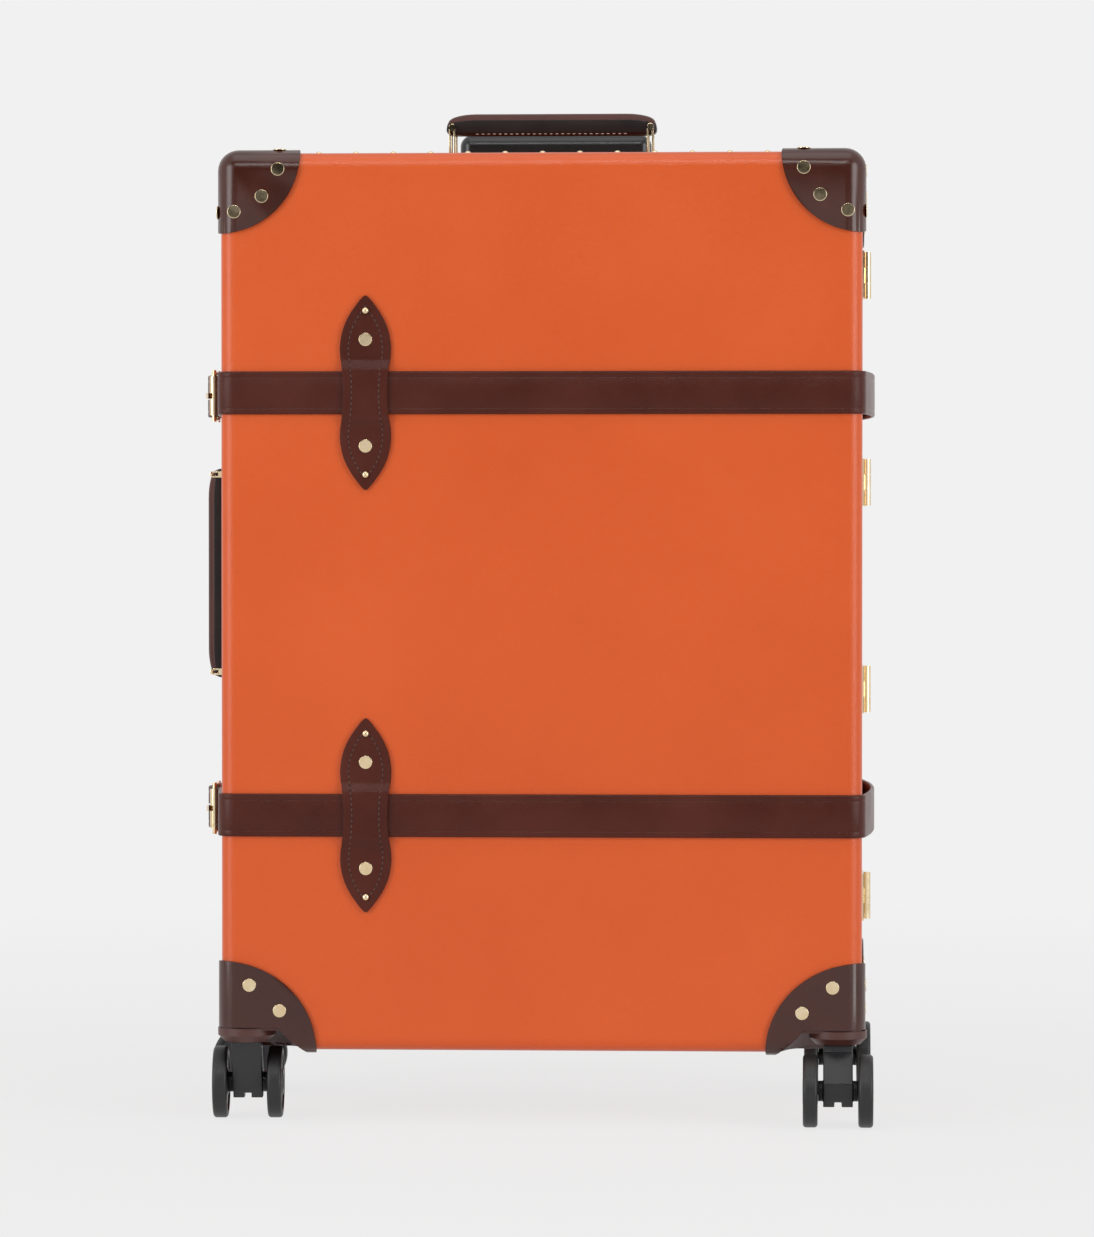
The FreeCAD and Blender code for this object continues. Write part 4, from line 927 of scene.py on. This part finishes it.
# One leather in two tones: the lighter one is painted light on the top, the darker one painted shade on
# the sides.
grip_top_painted_light = grip_cover("grip_top_painted_light", (0.060, 0.0150, 0.0100), (0.088, 0.0250, 0.0180), (0.40, 0.52))
grip_side_painted_shade = grip_cover("grip_side_painted_shade", (0.0080, 0.0042, 0.0035), (0.0140, 0.0074, 0.0062), (0.32, 0.44))
grip_thread = sewing_thread("pale_thread", (0.42, 0.36, 0.30), (0.62, 0.56, 0.48), 0.75)


def quarter_round(x, reach):
    """How far a round end has fallen at a place along the grip: 1 at the end, 0 beyond its reach."""
    inward = min(GRIP_LENGTH / 2 - abs(x), reach)
    return 1 - math.sqrt(1 - (1 - inward / reach) ** 2)


def grip_form():
    """A long block, its edges rounded and its ends drawn down and in towards the pins."""
    half = GRIP_LENGTH / 2
    grip = block("grip", (-half, -GRIP_DEPTH / 2, 0), (half, GRIP_DEPTH / 2, GRIP_THICK))
    edit(grip)
    pick(lambda spot, item: abs(spot.x) < MM and spot.z > GRIP_THICK / 2, "EDGE")
    bpy.ops.mesh.bevel(offset=8 * MM, segments=6, affect="EDGES")
    pick(lambda spot, item: abs(spot.x) < MM and spot.z < MM and abs(spot.y) > 0.4 * GRIP_DEPTH, "EDGE")
    bpy.ops.mesh.bevel(offset=2.5 * MM, segments=3, affect="EDGES")
    places = [side * (half - cut * MM) for cut in GRIP_CUTS for side in (-1, 1)] + [0]
    for x in places:
        bpy.ops.mesh.select_all(action="SELECT")
        bpy.ops.mesh.bisect(plane_co=(x, 0, 0), plane_no=(1, 0, 0))
    for x in places + [-half, half]:
        drop, nose = GRIP_DROP * quarter_round(x, GRIP_SHOULDER), quarter_round(x, GRIP_NOSE)
        low, high = NOSE_LIFT * nose, GRIP_THICK - drop - NOSE_DROP * nose
        tall = (high - low) / GRIP_THICK
        pick(lambda spot, item: abs(spot.x - x) < 0.1 * MM)
        bpy.ops.transform.resize(value=(1, 1 - NOSE_TAPER * nose, tall), center_override=(x, 0, 0))
        bpy.ops.transform.translate(value=(0, 0, low))
    pick(lambda spot, item: item.normal.z > 0.32 and abs(item.normal.x) < 0.8, "FACE")
    bpy.ops.mesh.inset(thickness=0.8 * MM, depth=0.3 * MM)
    done()
    smooth(grip, 42)
    grip.data.materials.append(grip_side_painted_shade)
    grip.data.materials.append(grip_top_painted_light)
    # Faces that point up take the lighter leather as painted light, all others the darker leather as
    # painted shade.
    for face in grip.data.polygons:
        face.material_index = 1 if face.normal.z > 0.3 else 0
    return grip


def bracket_form(tall, slot_top):
    """Two slotted uprights with rounded tops on one foot plate."""
    outside = POST_INSIDE + POST_THICK
    foot = block("bracket", (-FOOT_HALF, -outside, 0), (FOOT_HALF, outside, FOOT_THICK))
    edit(foot)
    pick(lambda spot, item: abs(spot.x) > FOOT_HALF - MM and abs(spot.y) > POST_INSIDE
         and abs(spot.z - FOOT_THICK / 2) < 0.1 * MM, "EDGE")
    bpy.ops.mesh.bevel(offset=4 * MM, segments=5, affect="EDGES")
    done()
    pieces = [foot]
    for side in (-1, 1):
        near, far = sorted((side * POST_INSIDE, side * outside))
        post = block("post", (-POST_WIDTH / 2, near, FOOT_THICK / 2), (POST_WIDTH / 2, far, tall))
        edit(post)
        pick(lambda spot, item: spot.z > 0.95 * tall and abs(spot.x) > 0.4 * POST_WIDTH, "EDGE")
        bpy.ops.mesh.bevel(offset=2.5 * MM, segments=6, affect="EDGES")
        done()
        slot = block("slot", (-SLOT_HALF, near - MM, SLOT_FOOT), (SLOT_HALF, far + MM, slot_top))
        edit(slot)
        pick(lambda spot, item: abs(spot.x) > MM and (spot.z < SLOT_FOOT + MM or spot.z > slot_top - MM)
             and abs(item.verts[0].co.y - item.verts[1].co.y) > MM, "EDGE")
        bpy.ops.mesh.bevel(offset=1.2 * MM, segments=4, affect="EDGES")
        done()
        carve(post, slot, "DIFFERENCE")
        pieces.append(post)
    return soften(joined("bracket", pieces), 0.3 * MM, 40, 2)


dress(brass, "top_handle_pins", "side_handle_pins")
grip = grip_form()
stitch = drawn_ball(STITCH)
row = []
for side in (-1, 1):
    for i in range(GRIP_STITCHES):
        piece = twin(stitch, "grip_stitch")
        piece.data.transform(Matrix.Translation((
            (i - GRIP_STITCHES // 2) * GRIP_STITCH_PITCH,
            side * (GRIP_DEPTH / 2 - GRIP_STITCH_INSET), GRIP_STITCH_INSET,
        )))
        row.append(piece)
bpy.data.objects.remove(stitch)
grip_row = joined("grip_row", row)
side_turn = Matrix.Rotation(-math.pi / 2, 4, "Y")
top_foot = Vector((0, HANDLE_BACK, CASE_HIGH.z))
side_foot = Vector((CASE_LOW.x, HANDLE_BACK, CASE_LOW.z + SIDE_HANDLE_HEIGHT))
# Turn and foot of each handle, stand of its grip, and tops of its uprights and their slots.
HANDLES = {
    "top": (Matrix.Identity(4), top_foot, 25 * MM, (34 * MM, 31.75 * MM)),
    "side": (side_turn, side_foot, 12 * MM, (27 * MM, 24.75 * MM)),
}
for where, (turned, foot, stand, upright) in HANDLES.items():
    frame_place = Matrix.Translation(foot) @ turned
    grip_place = frame_place @ Matrix.Translation((0, 0, stand))
    cover = twin(grip, f"{where}_grip_cover")
    cover.data.transform(grip_place)
    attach(cover, f"{where}_handle")
    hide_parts(f"{where}_handle_grip")
    seam = twin(grip_row, f"{where}_grip_seam")
    seam.data.transform(grip_place)
    hand_over(seam, f"{where}_handle", grip_thread, "strap_leather")
    bracket = bracket_form(*upright)
    pair = []
    for side in (-1, 1):
        copy = twin(bracket, f"{where}_bracket")
        copy.data.transform(frame_place @ Matrix.Translation((side * POST_SPACING / 2, 0, 0)))
        pair.append(copy)
    slotted = joined(f"{where}_slotted_brackets", pair)
    hand_over(slotted, "base", brass, "brass", f"{where}_handle_brackets")
    bpy.data.objects.remove(bracket)
for source in (grip, grip_row):
    bpy.data.objects.remove(source)

# Trolley
# A pull-out handle: two drawn aluminium tubes in sleeves behind the false back, a moulded grip with
# a release button, and a moulded bezel screwed to the top. The mouldings are glossy black.


def gloss_black():
    material, nodes, links, shader, place = finish("gloss_black")
    haze = speckle(nodes, links, place, 16)
    tinted(nodes, links, shader, haze, (0.3, (0.0105, 0.0105, 0.0110)), (0.7, (0.0165, 0.0165, 0.0175)))
    glossed(nodes, links, shader, haze, 0.24, 0.29)
    return material


def drawn_aluminium():
    material, nodes, links, shader, place = finish("drawn_aluminium")
    stretch = nodes.new("ShaderNodeMapping")
    stretch.inputs["Scale"].default_value = (1500, 1500, 12)
    links.new(place, stretch.inputs["Vector"])
    lines = speckle(nodes, links, stretch.outputs["Vector"], 1, 3)
    tinted(nodes, links, shader, lines, (0.3, (0.50, 0.50, 0.51)), (0.7, (0.64, 0.64, 0.65)))
    shader.inputs["Metallic"].default_value = 1
    glossed(nodes, links, shader, lines, 0.28, 0.42)
    raised(nodes, links, shader, lines, 0.05, 0.2 * MM)
    return material


dress(gloss_black(), "trolley_grip", "trolley_button", "trolley_bezel")
dress(drawn_aluminium(), "trolley_tubes", "trolley_sleeves")

# Casters
# Four twin-wheel swivel casters: a brown moulded housing screwed into the corner notch, a black
# moulded fork on a steel stem, a steel axle, and two wheels with rubber tyres on moulded discs.
WHEEL_RADIUS, WHEEL_WIDTH, WHEEL_SPREAD = 28.25 * MM, 11.5 * MM, 27.25 * MM
TYRE_DEPTH = 4.6 * MM
WHEEL_RINGS = ((2.2, 0), (0.5, -1.4), (12, 0), (0.9, 1.6), (3, 0), (0.5, -0.8))


def moulded(name, dark, light, rough, fine):
    """A plain finish with a fine speckle: mouldings, rubber and, made metallic, steel."""
    material, nodes, links, shader, place = finish(name)
    texture = speckle(nodes, links, place, fine, 4)
    tinted(nodes, links, shader, texture, (0.3, dark), (0.7, light))
    glossed(nodes, links, shader, texture, rough - 0.05, rough + 0.07)
    raised(nodes, links, shader, texture, 0.08, 0.2 * MM)
    return material


housing_brown = moulded("housing_brown", (0.072, 0.020, 0.014), (0.090, 0.028, 0.021), 0.42, 900)
fork_black = moulded("fork_black", (0.014, 0.014, 0.016), (0.021, 0.021, 0.024), 0.32, 700)
tyre_rubber = moulded("tyre_rubber", (0.0100, 0.0098, 0.0100), (0.0160, 0.0156, 0.0160), 0.46, 1200)
axle_steel = moulded("axle_steel", (0.42, 0.42, 0.43), (0.56, 0.56, 0.57), 0.32, 800)
axle_steel.node_tree.nodes["Principled BSDF"].inputs["Metallic"].default_value = 1
dress(housing_brown, "lid_caster_housings", "base_caster_housings")


def wheel_form():
    """A tyred wheel about X: rounded tread, then rings of given inset and rise in to the hub."""
    clear()
    bpy.ops.mesh.primitive_cylinder_add(
        vertices=72, radius=WHEEL_RADIUS, depth=WHEEL_WIDTH, rotation=(0, math.pi / 2, 0),
    )
    wheel = settled()
    edit(wheel)
    pick(lambda spot, item: abs(spot.x) > 0.4 * WHEEL_WIDTH, "EDGE")
    bpy.ops.mesh.bevel(offset=2.6 * MM, segments=5, affect="EDGES")
    for side in (-1, 1):
        pick(lambda spot, item: item.normal.x * side > 0.99, "FACE")
        for inset, rise in WHEEL_RINGS:
            bpy.ops.mesh.inset(thickness=inset * MM)
            bpy.ops.transform.translate(value=(side * rise * MM, 0, 0))
    done()
    soften(wheel, 0.3 * MM, 35, 2)
    wheel.data.materials.append(tyre_rubber)
    wheel.data.materials.append(fork_black)
    for face in wheel.data.polygons:
        middle = face.center
        inside = math.hypot(middle.y, middle.z) < WHEEL_RADIUS - TYRE_DEPTH
        face.material_index = 1 if inside else 0
    return wheel


def rounded_fork(node):
    """The fork with its moulded edges rounded."""
    fork = twin(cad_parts[node], node.replace("caster_fork", "moulded_fork"))
    edit(fork)
    bpy.ops.mesh.select_all(action="SELECT")
    bpy.ops.mesh.remove_doubles(threshold=1e-6)
    bpy.ops.mesh.dissolve_limited(angle_limit=math.radians(1))
    done()
    return soften(fork, 1.2 * MM, 40, 3)


wheel = wheel_form()
for corner, side_x, side_y in (
    ("front_left", -1, -1), ("front_right", 1, -1), ("rear_left", -1, 1), ("rear_right", 1, 1),
):
    low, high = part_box(f"{corner}_caster_axle")
    middle = (low + high) / 2
    swivel = Vector((side_x * (CASE_HIGH.x - CASTER_INSET), side_y * (CASE_HIGH.y - CASTER_INSET)))
    trail = middle.xy - swivel
    heading = math.atan2(trail.y, trail.x) - math.pi / 2
    pair = []
    for side in (-1, 1):
        copy = twin(wheel, f"{corner}_wheel")
        shift = Matrix.Translation((side * (WHEEL_SPREAD - WHEEL_WIDTH / 2), 0, 0))
        copy.data.transform(Matrix.Translation(middle) @ Matrix.Rotation(heading, 4, "Z") @ shift)
        pair.append(copy)
    wheels = joined(f"{corner}_tyred_wheels", pair)
    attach(wheels, f"{corner}_wheels")
    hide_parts(f"{corner}_caster_wheels")
    fork = rounded_fork(f"{corner}_caster_fork")
    hand_over(fork, f"{corner}_fork", fork_black, "caster_plastic", f"{corner}_caster_fork")
    dress(axle_steel, f"{corner}_caster_axle")
bpy.data.objects.remove(wheel)

# Studio
# A pale floor that runs into a background of the same tone, one broad soft box on each side, a
# weaker one above, two cards that only show in reflections, and a camera at the photograph's height
# and angle.
BACKDROP = 0.879
CAMERA_SPOT = (0.2221, -4.1342, 0.4715)
CAMERA_PITCH, CAMERA_TURN, CAMERA_LENS = 88.90, 3.099, 150.18


def seen_by(nodes, links, *rays):
    """1 for the named kinds of ray and 0 for the others."""
    path = nodes.new("ShaderNodeLightPath")
    share = path.outputs[rays[0]]
    for ray in rays[1:]:
        either = nodes.new("ShaderNodeMath")
        either.operation = "MAXIMUM"
        links.new(share, either.inputs[0])
        links.new(path.outputs[ray], either.inputs[1])
        share = either.outputs[0]
    return share


def pale_floor():
    material, nodes, links, shader, place = finish("studio_floor")
    speck = speckle(nodes, links, place, 60)
    tinted(nodes, links, shader, speck, (0.3, (0.800, 0.800, 0.800)), (0.7, (0.815, 0.815, 0.815)))
    shader.inputs["Roughness"].default_value = 0.9
    shader.inputs["Specular IOR Level"].default_value = 0
    glow = nodes.new("ShaderNodeEmission")
    glow.inputs["Color"].default_value = (BACKDROP, BACKDROP, BACKDROP, 1)
    far = nodes.new("ShaderNodeVectorMath")
    far.operation = "LENGTH"
    links.new(place, far.inputs[0])
    share = nodes.new("ShaderNodeMath")
    share.operation = "MULTIPLY"
    links.new(spread(nodes, links, far.outputs["Value"], 0.86, 1, 0.5, 2.2), share.inputs[1])
    links.new(seen_by(nodes, links, "Is Camera Ray", "Is Glossy Ray"), share.inputs[0])
    mix = nodes.new("ShaderNodeMixShader")
    links.new(share.outputs[0], mix.inputs["Fac"])
    links.new(shader.outputs["BSDF"], mix.inputs[1])
    links.new(glow.outputs["Emission"], mix.inputs[2])
    links.new(mix.outputs["Shader"], nodes["Material Output"].inputs["Surface"])
    return material


clear()
bpy.ops.mesh.primitive_circle_add(vertices=96, radius=14, fill_type="NGON", location=(0, 0, 0))
floor = bpy.context.object
floor.name = "studio_floor"
floor.data.materials.append(pale_floor())
floor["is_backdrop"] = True

world = bpy.data.worlds.new("studio")
bpy.context.scene.world = world
world.use_nodes = True
nodes, links = world.node_tree.nodes, world.node_tree.links
soft = nodes["Background"]
soft.inputs["Color"].default_value = (1, 1, 1, 1)
soft.inputs["Strength"].default_value = 0.45
backdrop = nodes.new("ShaderNodeBackground")
backdrop.inputs["Color"].default_value = (BACKDROP, BACKDROP, BACKDROP, 1)
clean = seen_by(nodes, links, "Is Camera Ray", "Is Transmission Ray", "Is Glossy Ray")
mix = nodes.new("ShaderNodeMixShader")
links.new(clean, mix.inputs["Fac"])
links.new(soft.outputs["Background"], mix.inputs[1])
links.new(backdrop.outputs["Background"], mix.inputs[2])
links.new(mix.outputs["Shader"], nodes["World Output"].inputs["Surface"])

LIT_MIDDLE = Vector((0, 0, 0.4))
for name, spot, width, height, power in (
    ("left_box", (-2.6, -2.2, 1.15), 1.6, 2.2, 42),
    ("right_box", (2.8, -2.0, 1.15), 1.6, 2.2, 42),
    ("top_box", (0, -0.6, 2.9), 2.4, 1.6, 12),
):
    lamp = bpy.data.lights.new(name, "AREA")
    lamp.shape = "RECTANGLE"
    lamp.size, lamp.size_y = width, height
    lamp.energy = power
    box = bpy.data.objects.new(name, lamp)
    box.location = spot
    box.rotation_euler = (LIT_MIDDLE - Vector(spot)).to_track_quat("-Z", "Y").to_euler()
    bpy.context.scene.collection.objects.link(box)


def card_cloth(name, socket, dark, light):
    """The cloth of a card, with its tone on one socket of the shader."""
    material, nodes, links, shader, place = finish(name)
    weave = speckle(nodes, links, place, 40)
    shade = tones(nodes, links, weave, ((0.3, (dark,) * 3), (0.7, (light,) * 3)))
    links.new(shade, shader.inputs[socket])
    return material, shader


black_felt, felt_shader = card_cloth("dark_board", "Base Color", 0.018, 0.026)
felt_shader.inputs["Roughness"].default_value = 1
# The bright card is no lamp: a glowing cloth seen only in reflections, where it puts a highlight line on
# rounded edges.
glowing_cloth, cloth_shader = card_cloth("bright_board", "Emission Color", 0.92, 1)
cloth_shader.inputs["Emission Strength"].default_value = 13
for name, low, high, material in (
    ("dark_board", (-5, -5.2, 0.87), (5, -5.15, 8), black_felt),
    ("bright_board", (-2, -4.6, 3.7), (2, -4.58, 4.1), glowing_cloth),
):
    board = block(name, low, high)
    board.data.materials.append(material)
    board.visible_camera = False
    board.visible_diffuse = False
    board.visible_shadow = False
    board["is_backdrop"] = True

camera = bpy.data.objects.new("camera", bpy.data.cameras.new("camera"))
camera.location = CAMERA_SPOT
camera.rotation_euler = (math.radians(CAMERA_PITCH), 0, math.radians(CAMERA_TURN))
camera.data.lens = CAMERA_LENS
camera.data.sensor_height = 36
camera.data.sensor_fit = "VERTICAL"
bpy.context.scene.collection.objects.link(camera)
bpy.context.scene.camera = camera
bpy.context.scene.view_settings.view_transform = "Standard"

low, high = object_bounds()
